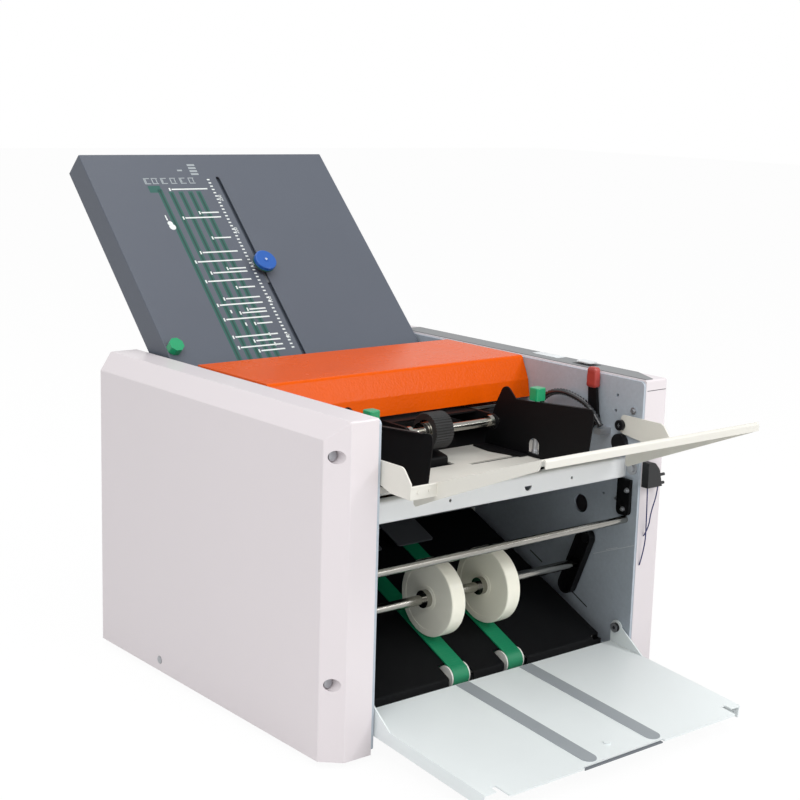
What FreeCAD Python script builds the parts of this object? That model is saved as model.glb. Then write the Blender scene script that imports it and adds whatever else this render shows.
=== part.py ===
import FreeCAD, Part
import math
import os

# Desk paper folding machine, modelled in millimetres.
# X runs to the right as seen from the front, Y to the rear, Z up.
# While it is built, y = 0 is the front of the side covers and z = 0 their lower edge.
# The last step moves everything so that the origin is the centre of the underside.

Vector = FreeCAD.Vector

# ---- frame and casing -------------------------------------------------------
FRAME_INNER = 171.3        # centre plane to the inner face of a side frame
FRAME_T = 3.0
FRAME_FRONT = 0.5
FRAME_REAR = 420.0
FRAME_LOW = 4.0
FRAME_TOP = 314.5
FRAME_OUTER = FRAME_INNER + FRAME_T
SIDE_AIR = 1.3             # air between a frame and a moving sheet beside it

COVER_WIDE = 48.7          # sideways depth of a side cover
COVER_LONG = 424.0
COVER_HIGH = 316.0
COVER_WALL = 2.0
COVER_OUTER = FRAME_OUTER + COVER_WIDE
COVER_BEVEL_SIDE = 18.2    # chamfer size measured along X
COVER_BEVEL_FRONT = 16.7   # along Y at the front
COVER_BEVEL_REAR = 10.4    # along Y at the rear
COVER_BEVEL_TOP = 17.2     # along Z at the top
COVER_EDGE_R = 2.0
COVER_SCREW_Z = (74.0, 284.0)
COVER_SCREW_X = COVER_OUTER - 9.0
COVER_SIDE_SCREW = (292.5, 12.1)
SCREW_CUP_R = 6.0
SCREW_CUP_WALL = 1.8
SCREW_CUP_FLOOR = 17.5
PANEL_SEAM_Z = 305.0       # joint between the right cover and its control housing
SEAM_GAP = 0.4

BASE_T = 2.0
BASE_FRONT = 26.0
BASE_REAR = 413.0
BASE_LIP = 26.0
FOOT_R = 13.0
FOOT_HIGH = 7.0
FOOT_X = FRAME_INNER - 21.3
FOOT_Y = (48.0, 385.0)

BACK_Y = 414.0
BACK_T = 1.5
BACK_TOP = 290.0

# ---- sheet metal and fits ---------------------------------------------------
SHEET = 1.5
BEND_R = 1.2
RUN = 0.06                 # radial clearance of a shaft in its bore
GAP = 0.3                  # air between faces that move past each other
TOUCH = 0.1                # air between a round bar and what rests on it

# ---- front beam and tie bar -------------------------------------------------
BEAM_Y = 18.6
BEAM_LOW = 211.4
BEAM_TOP = 232.3
BEAM_LIP = 12.0
BEAM_HOLE = (30.7, 5.0)
BEAM_PINHOLES = (-71.0, 91.5)
PINHOLE_R = 1.6
TIE_Y = 15.8
TIE_Z = 167.0
TIE_R = 4.0
TIE_PLATE = (8.5, 26.0, 171.8, 210.4)
TIE_PLATE_T = 4.0

# ---- orange top cover -------------------------------------------------------
LID_HALF = FRAME_INNER - 1.0
LID_REAR = 304.5
LID_TOP = 316.5
LID_BEND = 179.3
LID_LIP_TOP = (168.0, 291.5)
LID_LIP_LOW = (164.8, 272.7)
LID_SIDE = 8.0
LID_HINGE = (297.0, 307.0)
LID_HINGE_R = 2.5
LID_EAR_R = 6.0
LID_NOTCH = (-85.0, 7.0, 11.0)

# ---- upper fold plate -------------------------------------------------------
PLATE_Y = 360.5            # where the plate's upper face meets z = PLATE_Z
PLATE_Z = 314.0
PLATE_TILT = 45.7
PLATE_HALF = FRAME_INNER - 2.3
PLATE_LOW = -45.0          # distances along the plate from that line
PLATE_TOP = 285.0
PLATE_THICK = 31.5
PLATE_TONGUE = -106.0
PLATE_SLOT_HALF = 2.6
PLATE_SLOT_TOP = 247.0
PAPER_GAP = 2.8
PAPER_HALF = 152.0
PAPER_TOP = 279.0
STOP_AT = 114.0            # fold stop at rest
STOP_T = 2.0
STOP_HALF = 148.0
STOP_DEEP = 22.0
STOP_STEM_R = 2.1
STOP_KNOB_R = 13.5
STOP_KNOB_H = 12.0
STOP_NECK_R = 8.0          # the knob stands on a slimmer neck
STOP_NECK_H = 5.2
CLAMP_X = -160.0
CLAMP_AT = 12.0
CLAMP_R = 8.6
CLAMP_H = 9.0
CLAMP_STEM_R = 3.0
REST_BAR_R = 5.0
REST_BARS = (20.0, -36.0)

# ---- lower fold plate -------------------------------------------------------
LOWER_REAR = (262.0, 184.0)
LOWER_TILT = -8.0
LOWER_CLEAR = 7.6          # air between the plate and the front beam
LOWER_LONG = (LOWER_REAR[0] - BEAM_Y - BEAM_LIP - LOWER_CLEAR) / math.cos(math.radians(LOWER_TILT))
LOWER_HALF = FRAME_INNER - 11.3
LOWER_SHEET = 1.2
LOWER_STOP_AT = 120.0
LOWER_STOP_T = 1.8
LOWER_STOP_DEEP = 20.0
LOWER_SLOT = (30.0, LOWER_LONG - 21.0)

# ---- folding rollers and drive ----------------------------------------------
ROLLER_PITCH_R = 16.0      # half the distance between neighbouring rollers
ROLLER_R = ROLLER_PITCH_R - GAP / 2
ROLLER_HALF = FRAME_INNER - 6.3
ROLLER_SHAFT_R = 5.0
FIRST_ROLLER = (256.0, 239.9)
ROLLER_TURNS = (-60.0, -15.0, -101.5)   # direction from each roller to the next
BEARING_R = 9.0
BEARING_WIDE = 6.0
BEARING_IN = FRAME_INNER - 1.0
GEAR_TEETH = 20
GEAR_WIDE = 8.0
GEAR_IN = FRAME_OUTER + 4.7
TOOTH_TOP = 1.3
TOOTH_ROOT = 1.8
TOOTH_SHAPE = ((-0.30, -TOOTH_ROOT), (-0.14, TOOTH_TOP), (0.14, TOOTH_TOP), (0.30, -TOOTH_ROOT))
DRIVE_PULLEY_R = 22.0
DRIVE_IN = FRAME_OUTER + 16.7
BELT_WIDE = 8.0
BELT_T = 2.0
FEED_BELT_IN = FRAME_OUTER + 31.7
FEED_PULLEY_R = 11.0
MOTOR_AT = (330.0, 70.0)
MOTOR_R = 38.0
MOTOR_LONG = 98.0
MOTOR_FLANGE = 86.0
MOTOR_FLANGE_T = 3.0
MOTOR_PULLEY_R = 10.0
MOTOR_SHAFT_R = 4.0
MOTOR_BORE = 10.0

# ---- feed head --------------------------------------------------------------
HEAD_SHAFT = (190.0, 262.0)
HEAD_SHAFT_R = 4.0
FEED_AT = (128.0, 261.0)
FEED_R = 19.0
FEED_RIB = 0.8
FEED_RIBS = 40
FEED_HALF = 11.5
FEED_HUB_R = 12.0
FEED_SHAFT_R = 4.5
FEED_SHAFT_X = (-44.0, 88.0)
HEAD_ARM_X = (-40.0, 80.0)
HEAD_ARM_T = 3.0
HEAD_ARM_R = 8.0
COLLAR_X = (-18.5, -12.0)
COLLAR_R = 9.5
SEPARATOR_BAR = (176.0, 184.0, 214.0, 225.0)
SEPARATOR_HALF = 12.0
PAD_Y = (118.0, 142.0)
PAD_TOP = 239.5
INFEED_REAR = 240.0

# ---- feed table and its side guides -----------------------------------------
TABLE_REAR = 169.0
TABLE_Z = 226.7
TABLE_BEND = 57.0
TABLE_RISE = 19.9
TABLE_SHOULDER = -40.0
TABLE_FRONT = -171.0
TABLE_HALF_REAR = FRAME_INNER - 7.8
TABLE_HALF_MID = FRAME_INNER - SIDE_AIR
TABLE_HALF_FRONT = TABLE_HALF_MID - 30.0
TABLE_WIDE_FROM = -13.0
TABLE_LIP = 9.0
TABLE_CORNER = (2.5, 3.0)   # air at the front corners, along x and y
TABLE_PINHOLE = (24.0, 146.0)
SHOULDER_LIP = 12.5
TABLE_WALL_TOP = 277.0
TABLE_WALL_TOE = ((-13.0, 250.0), (0.0, 254.0, 6))
TABLE_WING = ((-9.0, 232.0, 3), (-40.0, 245.6), (-165.0, 298.0, 5))
HOOK_AT = (26.0, 266.0)
HOOK_R = 5.5
HOOK_STICK = 7.0
STOP_DISC = (27.0, 247.0)
STOP_DISC_R = 9.5
GUIDE_SLOT_Y = 104.0
GUIDE_SLOT_X = (30.0, 158.0)
GUIDE_SLOT_HALF = 3.2
TABLE_NOTCH_HALF = 17.0
TABLE_NOTCH_Y = 112.0
RIVET_X = (9.0 - TABLE_HALF_MID, 22.0 - TABLE_HALF_MID)
GUIDE_X = 105.0
GUIDE_T = 1.4
GUIDE_LIFT = 0.5
GUIDE_FOOT_X = 116.0
GUIDE_ROD_X = 110.2
GUIDE_ROD_R = 2.5
GUIDE_CLAMP_Y = 92.0
GUIDE_PIN_R = 2.6
GUIDE_PIN_HEAD_R = 4.2
GUIDE_KNOB = 13.0
GUIDE_KNOB_Z = 287.0
GUIDE_KNOB_H = 13.5
GUIDE_BAND = 5.0
GUIDE_BAND_LINE = ((18.0, 291.2), (82.0, 286.5))
GUIDE_FRONT = 11.4
GUIDE_REAR = 163.6
GUIDE_LINE = ((162.0, 239.0), (155.6, 258.0, 20), (146.7, 279.0), (135.7, 300.0, 8), (118.4, 284.0, 6),
              (93.0, 285.7), (7.6, 291.9, 4), (6.4, 282.0, 3))

# ---- table lever ------------------------------------------------------------
LEVER_AT = (64.0, 267.0)
LEVER_X = (FRAME_INNER - 6.3, FRAME_INNER - 2.8)
LEVER_TIP = (67.0, 301.0)
LEVER_HALF = 5.5
LEVER_PIN = (92.0, 220.5)
LEVER_PIN_R = 3.0
LEVER_PIN_IN = FRAME_INNER - 11.3
LEVER_STUD_R = 4.0
GRIP_LOW = 299.0
GRIP_TOP = 321.0
GRIP_HALF_Y = 6.8
GRIP_X = (LEVER_X[0] - 2.4, LEVER_X[1] + 2.1)

# ---- delivery deck, belts and nip wheels ------------------------------------
DECK_Y = 38.7              # a point on the upper face of the belts
DECK_Z = 44.6
DECK_TILT = 23.6
DECK_FRONT = 28.0
DECK_REAR = 262.0
DECK_LOW = 27.5
DECK_HALF = FRAME_INNER - 13.3
STRAP_T = 1.4
STRAP_WIDE = 20.0
STRAP_X = (-36.7, 36.7)
PULLEY_R = 9.8
PULLEY_FLANGE = 1.5
PULLEY_FLANGE_R = 11.2
PULLEY_SHAFT_R = 3.0
PULLEY_FRONT_Y = 42.5
PULLEY_REAR_Y = 250.0
DECK_SLOT_LEFT = 19.0      # slot edges measured from the belt's centre line
DECK_SLOT_RIGHT = 13.2
DECK_SLOT_LONG = 15.5
DECK_SLOT_PAST = 4.6
DELIVERY_PULLEY_R = 9.0
WHEEL_AT = (77.5, 104.7)
WHEEL_X = (-37.0, 37.0)
WHEEL_WIDE = 17.5
WHEEL_R = 39.2
WHEEL_RIM = 7.0
WHEEL_RECESS = 0.4
WHEEL_HUB_R = 13.0
WHEEL_SHAFT_R = 5.0
WHEEL_COLLAR_R = 9.0
WHEEL_COLLAR = 6.0
ARM_PIVOT = (65.0, 136.0)
ARM_R = 10.0
ARM_TAIL = 28.0            # how far an arm reaches past the wheel shaft
ARM_X = (FRAME_INNER - 10.8, FRAME_INNER - 1.8)
ARM_WALL = 1.6
ARM_PIN_R = 4.0
TONGUE_X = ((11.0, 60.0), (-60.0, -11.0))
TONGUE_AT = (170.0, 216.0, 8.0)
TONGUE_SHEET = (8.0, 24.0)  # how far the sheet starts before the tongues' roots and goes on behind
TONGUE_SHEET_END = (272.0, 168.0)

# ---- exit tray --------------------------------------------------------------
TRAY_Y = 24.4
TRAY_Z = 31.9
TRAY_TILT = 5.1
TRAY_LONG = 185.0
TRAY_SHORT = 174.0
TRAY_HALF = FRAME_INNER - SIDE_AIR
TRAY_HALF_FRONT = TRAY_HALF - 20.0
TRAY_NOTCH = 6.0
TRAY_LIP = 13.0
TRAY_HINGE = (17.1, 48.9)
TRAY_HINGE_R = 2.5
TRAY_EAR_R = 7.5
EXTEND_X = (-58.0, 45.0)
EXTEND_T = 1.2
EXTEND_REAR = 60.0
EXTEND_TRAVEL = 80.0
EXTEND_SCREW = (-6.3, 161.4)
RAIL_T = 1.2

# ---- small parts ------------------------------------------------------------
PANEL_X = (FRAME_OUTER + 2.2, COVER_OUTER - 20.0)
PANEL_CHAMFER = (10.0, 35.0)
PANEL_Y = (3.0, 394.0)
PANEL_T = 0.8
KEY_X = FRAME_OUTER + 15.7
KEY_Y = 100.0
KEY_HALF_X = 6.0
KEY_HALF_Y = 10.5
KEY_T = 1.2
KEY_RISE = 2.0             # air below a key, more than its travel of 1.5
KEY_STEM_R = 3.0
INLET_AT = (-120.0, 60.0)
SWITCH_AT = (-84.0, 60.0)
SWITCH_PIN_R = 1.2
SWITCH_PIN_HALF = 8.8
SENSOR_LOW = 204.5
SENSOR_TOP = 231.0
SENSOR_DEEP = 9.0
SENSOR_WIDE = 22.0
WIRE_R = 0.65
WIRE_Y = -5.0
WIRE_END_Y = -0.72         # the leads' ends lie on the cover's front
LONG_WIRE = ((179.3, 204.5), (181.2, 165.0), (180.8, 140.0), (178.8, 120.0))
SHORT_WIRE = ((195.4, 204.5), (194.5, 194.0), (187.0, 177.0), (184.9, 160.0), (182.6, 151.0))
LOOM_R = 3.6
LOOM_X = FRAME_INNER - 11.8
LOOM_ROUTE = ((144.0, 250.0), (140.0, 270.0), (124.0, 285.0), (103.0, 290.0), (82.0, 286.5),
              (62.0, 279.5), (47.0, 262.0))
GLAND_HALF = 4.5
GLAND_HIGH = 6.0
GLAND_DROPS = (0.75, 2.4)  # from the middle of the loom's slanted ends to the glands' tops


# ---- shape helpers ----------------------------------------------------------
def lift(plane, u, v, w):
    """Put the flat point (u, v) of a plane at depth w."""
    if plane == "yz":
        return Vector(w, u, v)
    if plane == "xz":
        return Vector(u, w, v)
    return Vector(u, v, w)


def corner(points, index):
    """Start, middle and end of the tangent arc that rounds one corner."""
    here = Vector(points[index][0], points[index][1], 0)
    before = Vector(points[index - 1][0], points[index - 1][1], 0) - here
    after = points[(index + 1) % len(points)]
    after = Vector(after[0], after[1], 0) - here
    radius = points[index][2] if len(points[index]) > 2 else 0.0
    half = before.getAngle(after) / 2
    if radius <= 0 or half > 1.55:
        return here, None, here
    before.normalize()
    after.normalize()
    reach = radius / math.tan(half)
    middle = before + after
    middle.normalize()
    crown = here + middle * (radius / math.sin(half) - radius)
    return here + before * reach, crown, here + after * reach


def outline(points, plane, depth):
    """Closed face through points (u, v) or (u, v, corner radius)."""
    arcs = [corner(points, index) for index in range(len(points))]
    edges = []
    for index, (start, crown, end) in enumerate(arcs):
        last = arcs[index - 1][2]
        if last.distanceToPoint(start) > 1e-6:
            edges.append(Part.LineSegment(lift(plane, last.x, last.y, depth),
                                          lift(plane, start.x, start.y, depth)).toShape())
        if crown is not None:
            edges.append(Part.Arc(lift(plane, start.x, start.y, depth),
                                  lift(plane, crown.x, crown.y, depth),
                                  lift(plane, end.x, end.y, depth)).toShape())
    return Part.Face(Part.Wire(edges))


def prism(points, plane, start, end):
    """Outline drawn in a plane and pushed from depth start to depth end."""
    return outline(points, plane, start).extrude(lift(plane, 0, 0, end - start))


def sheet_outline(line, thick, bend=BEND_R):
    """Outline of a bent sheet: line is one face, thick > 0 lies to its left."""
    count = len(line)
    other = []
    for index in range(count):
        here = Vector(line[index][0], line[index][1], 0)
        normals = []
        if index > 0:
            run = here - Vector(line[index - 1][0], line[index - 1][1], 0)
            normals.append(Vector(-run.y, run.x, 0).normalize())
        if index < count - 1:
            run = Vector(line[index + 1][0], line[index + 1][1], 0) - here
            normals.append(Vector(-run.y, run.x, 0).normalize())
        mean = normals[0] + normals[-1]
        mean.normalize()
        turn = normals[0].cross(normals[-1]).z * thick
        near = 0.0
        far = 0.0
        if abs(turn) > 1e-9:
            near = bend + abs(thick) if turn > 0 else bend
            far = bend if turn > 0 else bend + abs(thick)
        spot = here + mean * (thick / mean.dot(normals[0]))
        other.append((here.x, here.y, near, spot.x, spot.y, far))
    face = [(item[0], item[1], item[2]) for item in other]
    back = [(item[3], item[4], item[5]) for item in reversed(other)]
    return face + back


def bent_sheet(line, thick, start, end, plane="yz", bend=BEND_R):
    """Sheet bent along a line in a plane and as wide as start to end."""
    return prism(sheet_outline(line, thick, bend), plane, start, end)


def block(x_pair, y_pair, z_pair):
    """Box between two corners."""
    size = [high - low for low, high in (x_pair, y_pair, z_pair)]
    return Part.makeBox(size[0], size[1], size[2], Vector(x_pair[0], y_pair[0], z_pair[0]))


def rod(at, radius, start, end):
    """Cylinder along X through the point at = (y, z)."""
    return Part.makeCylinder(radius, end - start, Vector(start, at[0], at[1]), Vector(1, 0, 0))


def post(x, y, radius, low, high):
    """Cylinder along Z."""
    return Part.makeCylinder(radius, high - low, Vector(x, y, low), Vector(0, 0, 1))


def pin(x, z, radius, front, rear):
    """Cylinder along Y."""
    return Part.makeCylinder(radius, rear - front, Vector(x, front, z), Vector(0, 1, 0))


def ring(at, outer, inner, start, end):
    """Bush along X."""
    return rod(at, outer, start, end).cut(rod(at, inner, start - 1, end + 1))


def link(first, second, radius, start, end):
    """Bar along X depth with two round ends."""
    run = Vector(second[0] - first[0], second[1] - first[1], 0)
    side = Vector(-run.y, run.x, 0).normalize() * radius
    flat = [(first[0] + side.x, first[1] + side.y), (first[0] - side.x, first[1] - side.y),
            (second[0] - side.x, second[1] - side.y), (second[0] + side.x, second[1] + side.y)]
    bar = prism(flat, "yz", start, end)
    return bar.fuse([rod(first, radius, start, end), rod(second, radius, start, end)])


def loop(first, second, radii, thick, start, end):
    """Endless belt round two pulleys, drawn as an outer loop less an inner one."""
    outer = hull(first, radii[0] + thick, second, radii[1] + thick, start, end)
    inner = hull(first, radii[0], second, radii[1], start - 1, end + 1)
    return outer.cut(inner)


def hull(first, first_r, second, second_r, start, end):
    """Two discs and the tangent lines between them."""
    run = Vector(second[0] - first[0], second[1] - first[1], 0)
    lean = math.acos((first_r - second_r) / run.Length)
    heading = math.atan2(run.y, run.x)
    sides = []
    for sign in (1, -1):
        way = Vector(math.cos(heading + sign * lean), math.sin(heading + sign * lean), 0)
        sides.append((first[0] + way.x * first_r, first[1] + way.y * first_r))
        sides.append((second[0] + way.x * second_r, second[1] + way.y * second_r))
    body = prism([sides[0], sides[1], sides[3], sides[2]], "yz", start, end)
    return body.fuse([rod(first, first_r, start, end), rod(second, second_r, start, end)])


def tilted(shape, y, z, degrees):
    """Turn a shape about the X axis and carry it to (y, z)."""
    turned = shape.copy()
    turned.rotate(Vector(0, 0, 0), Vector(1, 0, 0), degrees)
    turned.translate(Vector(0, y, z))
    return turned


def mirrored(shape):
    """The same shape on the other side of the centre plane."""
    return shape.mirror(Vector(0, 0, 0), Vector(1, 0, 0))


def both(shape):
    """A shape and its mirror image as separate solids."""
    return Part.makeCompound([shape, mirrored(shape)])


def group(shapes):
    """Separate solids that share one node."""
    return Part.makeCompound(shapes)


def joined(shapes):
    """Shapes fused to one solid."""
    return shapes[0].fuse(shapes[1:]).removeSplitter()


# ---- places worked out from the sizes above ----------------------------------
def roller_places():
    """Centres of the four folding rollers as (y, z)."""
    places = [FIRST_ROLLER]
    for degrees in ROLLER_TURNS:
        y, z = places[-1]
        way = math.radians(degrees)
        reach = 2 * ROLLER_PITCH_R
        places.append((y + reach * math.cos(way), z + reach * math.sin(way)))
    return places


def on_plate(along, above):
    """Point (y, z) on the upper fold plate."""
    way = math.radians(PLATE_TILT)
    return (PLATE_Y + along * math.cos(way) - above * math.sin(way),
            PLATE_Z + along * math.sin(way) + above * math.cos(way))


def on_deck(along, above):
    """Point (y, z) measured from the upper face of the delivery belts."""
    way = math.radians(DECK_TILT)
    return (DECK_Y + along * math.cos(way) - above * math.sin(way),
            DECK_Z + along * math.sin(way) + above * math.cos(way))


def deck_height(y, above=0.0):
    """Height of the belts' upper face, or of a face parallel to it, at y."""
    way = math.radians(DECK_TILT)
    return DECK_Z + (y - DECK_Y) * math.tan(way) + above / math.cos(way)


def pulley_place(y):
    """Centre (y, z) of a belt pulley under the belts' upper face."""
    return y, deck_height(y, -(PULLEY_R + GAP + STRAP_T))


def table_height(y):
    """Height of the feed table's upper face at y."""
    return TABLE_Z + max(0.0, TABLE_BEND - y) * math.tan(math.radians(TABLE_RISE))


ROLLERS = roller_places()
DECK_TOP = -(STRAP_T + GAP)
FRONT_PULLEY = pulley_place(PULLEY_FRONT_Y)
REAR_PULLEY = pulley_place(PULLEY_REAR_Y)
STOP_FACE = -(SHEET + PAPER_GAP)


# ---- casing -------------------------------------------------------------------
def cover_solid(inset):
    """Right cover as a full block, or its hollow when inset by a wall."""
    inner = FRAME_OUTER
    outer = COVER_OUTER - inset
    front = inset
    rear = COVER_LONG - inset
    low = inset
    high = COVER_HIGH - inset
    plan = [(inner, front), (outer - COVER_BEVEL_SIDE, front), (outer, front + COVER_BEVEL_FRONT),
            (outer, rear - COVER_BEVEL_REAR), (outer - COVER_BEVEL_SIDE, rear), (inner, rear)]
    end_view = [(inner, low), (outer, low), (outer, high - COVER_BEVEL_TOP),
                (outer - COVER_BEVEL_SIDE, high), (inner, high)]
    return prism(plan, "xy", low, high).common(prism(end_view, "xz", front, rear))


def rounded_cover():
    """Outer form of the right cover with softened edges."""
    solid = cover_solid(0.0)
    edges = [edge for edge in solid.Edges if edge.BoundBox.XMax > FRAME_OUTER + 1]
    edges = [edge for edge in edges if edge.BoundBox.ZMax > 1]
    return solid.makeFillet(COVER_EDGE_R, edges)


def cover_shell():
    """Hollow right cover with its screw cups."""
    form = rounded_cover()
    shell = form.cut(cover_solid(COVER_WALL))
    cup_r = SCREW_CUP_R + SCREW_CUP_WALL
    depth = SCREW_CUP_FLOOR + SCREW_CUP_WALL
    side_y, side_z = COVER_SIDE_SCREW
    cups = [pin(COVER_SCREW_X, z, cup_r, 0, depth).common(form) for z in COVER_SCREW_Z]
    shell = joined([shell] + cups)
    for z in COVER_SCREW_Z:
        shell = shell.cut(pin(COVER_SCREW_X, z, SCREW_CUP_R, -1, SCREW_CUP_FLOOR))
        shell = shell.cut(pin(COVER_SCREW_X, z, 2.2, 0, depth + 1))
    shell = shell.cut(rod((side_y, side_z), 2.2, COVER_OUTER - 5, COVER_OUTER + 1))
    return shell.cut(rod((side_y, side_z), 4.2, COVER_OUTER - 1, COVER_OUTER + 1))


def cover_screws():
    """Pan-head screws that hold both covers."""
    shapes = []
    for z in COVER_SCREW_Z:
        head = pin(COVER_SCREW_X, z, 4.4, SCREW_CUP_FLOOR - 3, SCREW_CUP_FLOOR)
        shapes.append(head.fuse(pin(COVER_SCREW_X, z, 2.0, SCREW_CUP_FLOOR - 1, SCREW_CUP_FLOOR + 12)))
    side = rod(COVER_SIDE_SCREW, 3.9, COVER_OUTER - 1, COVER_OUTER + 0.4)
    shapes.append(side.fuse(rod(COVER_SIDE_SCREW, 2.0, COVER_OUTER - 14, COVER_OUTER - 0.5)))
    return group(shapes + [mirrored(shape) for shape in shapes])


def right_cover():
    """Right cover below the control housing."""
    keep = block((FRAME_OUTER - 1, COVER_OUTER + 1), (-1, COVER_LONG + 1),
                 (-1, PANEL_SEAM_Z - SEAM_GAP / 2))
    return cover_shell().common(keep)


def control_housing():
    """Top of the right cover, which carries the control panel."""
    keep = block((FRAME_OUTER - 1, COVER_OUTER + 1), (-1, COVER_LONG + 1),
                 (PANEL_SEAM_Z - SEAM_GAP / 2, COVER_HIGH + 1))
    shell = cover_shell().common(keep)
    return shell.cut(post(KEY_X, KEY_Y, KEY_STEM_R + RUN, COVER_HIGH - 5, COVER_HIGH + 1))


def control_panel():
    """Thin grey panel on the control housing, with a bore for the key's stem."""
    front, rear = PANEL_Y
    near, far = PANEL_X
    wide, long = PANEL_CHAMFER
    shape = prism([(near, front), (near + wide, front), (far, front + long), (far, rear, 2),
                   (near, rear, 2)], "xy", COVER_HIGH, COVER_HIGH + PANEL_T)
    return shape.cut(post(KEY_X, KEY_Y, KEY_STEM_R + RUN, COVER_HIGH - 1, COVER_HIGH + 2))


def key():
    """Push key with the stem that reaches its switch."""
    y = KEY_Y
    low = COVER_HIGH + PANEL_T + KEY_RISE
    corners = [(KEY_X - KEY_HALF_X, y - KEY_HALF_Y, 2), (KEY_X + KEY_HALF_X, y - KEY_HALF_Y, 2),
               (KEY_X + KEY_HALF_X, y + KEY_HALF_Y, 2), (KEY_X - KEY_HALF_X, y + KEY_HALF_Y, 2)]
    cap = prism(corners, "xy", low, low + KEY_T)
    return joined([cap, post(KEY_X, y, KEY_STEM_R, COVER_HIGH - 6, low + KEY_T / 2)])


def frame_plate(with_window):
    """Side frame plate on the right, with the bores that carry the shafts."""
    shape = prism([(FRAME_FRONT, FRAME_LOW, 3), (FRAME_REAR, FRAME_LOW, 3),
                   (FRAME_REAR, FRAME_TOP, 3), (FRAME_FRONT, FRAME_TOP, 5)], "yz",
                  FRAME_INNER, FRAME_OUTER)
    bores = [(place, BEARING_R) for place in ROLLERS]
    bores += [(HEAD_SHAFT, HEAD_SHAFT_R + RUN), (REAR_PULLEY, PULLEY_SHAFT_R + RUN)]
    bores += [((36.0, 295.4), 1.8), ((37.5, 279.0), 1.8), ((48.0, 188.0), 1.6)]
    if with_window:
        bores.append(((80.2, 169.7), 10.0))
    else:
        bores.append((MOTOR_AT, 12.0))
    for place, radius in bores:
        shape = shape.cut(rod(place, radius, FRAME_INNER - 1, FRAME_OUTER + 1))
    for first, second in (((94.5, 72.8), (63.2, 57.6)), ((153.5, 99.0), (133.8, 90.0))):
        shape = shape.cut(link(first, second, 0.6, FRAME_INNER - 1, FRAME_OUTER + 1))
    return shape


def base_plate():
    """Floor of the machine, a tray with its sides turned up against the frames."""
    edge = FRAME_INNER
    line = [(-edge, BASE_LIP), (-edge, FRAME_LOW), (edge, FRAME_LOW), (edge, BASE_LIP)]
    return bent_sheet(line, BASE_T, BASE_FRONT, BASE_REAR, "xz")


def feet():
    """Four rubber feet under the floor."""
    shapes = []
    for x in (-FOOT_X, FOOT_X):
        for y in FOOT_Y:
            foot = post(x, y, FOOT_R, -FOOT_HIGH, FRAME_LOW)
            low_edge = [edge for edge in foot.Edges if edge.BoundBox.ZMax < -FOOT_HIGH + 0.1]
            shapes.append(foot.makeChamfer(1.5, low_edge))
    return group(shapes)


def back_panel():
    """Rear sheet between the frames, cut for the inlet and the switch."""
    low = FRAME_LOW + BASE_T
    shape = block((-FRAME_INNER, FRAME_INNER), (BACK_Y, BACK_Y + BACK_T), (low, BACK_TOP))
    for (x, z), half_x, half_z in ((INLET_AT, 13.8, 10.2), (SWITCH_AT, 9.7, 7.0)):
        shape = shape.cut(block((x - half_x, x + half_x), (BACK_Y - 1, BACK_Y + 3), (z - half_z, z + half_z)))
    for index in range(9):
        x = 40.0 + index * 10.0
        slot = block((x, x + 4.0), (BACK_Y - 1, BACK_Y + 3), (45.0, 95.0))
        shape = shape.cut(slot)
    return shape


def inlet_module():
    """Appliance inlet and switch housing on one plate."""
    x, z = INLET_AT
    side, _ = SWITCH_AT
    rear = BACK_Y + BACK_T
    right = side + 13
    flange = prism([(x - 20, z - 12, 4), (right, z - 12, 4), (right, z + 12, 4), (x - 20, z + 12, 4)],
                   "xz", rear, rear + 2.5)
    body = block((x - 13.6, x + 13.6), (rear - 22, rear + 1), (z - 10, z + 10))
    socket = block((side - 9.5, side + 9.5), (rear - 16, rear + 1), (z - 6.8, z + 6.8))
    hollow = prism([(x - 11.8, z - 8, 1), (x + 11.8, z - 8, 1), (x + 11.8, z + 4), (x + 7, z + 8),
                    (x - 7, z + 8), (x - 11.8, z + 4)], "xz", rear - 15, rear + 3)
    shape = joined([flange, body, socket]).cut(hollow)
    shape = shape.cut(block((side - 8.2, side + 8.2), (rear - 9, rear + 3), (z - 5.6, z + 5.6)))
    blades = [block((x + dx - 1, x + dx + 1), (rear - 16, rear - 3), (z + dz - 2, z + dz + 2))
              for dx, dz in ((-7, -2), (7, -2), (0, 2))]
    reach = SWITCH_PIN_HALF + 0.2
    bore = rod((BACK_Y + 0.5, z), SWITCH_PIN_R + RUN, side - reach, side + reach)
    return joined([shape.cut(bore)] + blades)


def switch_rocker():
    """Rocker of the mains switch on its two pivot stubs."""
    x, z = SWITCH_AT
    rear = BACK_Y + BACK_T
    profile = [(rear - 5.5, z - 3.6), (rear - 5.5, z + 3.6), (rear + 3.6, z + 4.4), (rear + 2.6, z),
               (rear + 3.6, z - 4.4)]
    stubs = rod((BACK_Y + 0.5, z), SWITCH_PIN_R, x - SWITCH_PIN_HALF, x + SWITCH_PIN_HALF)
    return prism(profile, "yz", x - 7.6, x + 7.6).fuse(stubs)


# ---- front beam and ties --------------------------------------------------------
def front_beam():
    """White channel below the feed table."""
    line = [(BEAM_Y + BEAM_LIP, BEAM_LOW), (BEAM_Y, BEAM_LOW), (BEAM_Y, BEAM_TOP),
            (BEAM_Y + BEAM_LIP, BEAM_TOP)]
    shape = bent_sheet(line, -SHEET, -FRAME_INNER, FRAME_INNER)
    x, radius = BEAM_HOLE
    middle = (BEAM_LOW + BEAM_TOP) / 2
    round_hole = pin(x, middle, radius, BEAM_Y - 1, BEAM_Y + 3)
    shape = shape.cut(round_hole.common(block((x - 9, x + 9), (0, 40), (0, middle))))
    for x in BEAM_PINHOLES:
        shape = shape.cut(pin(x, middle, PINHOLE_R, BEAM_Y - 1, BEAM_Y + 3))
    return shape


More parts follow.
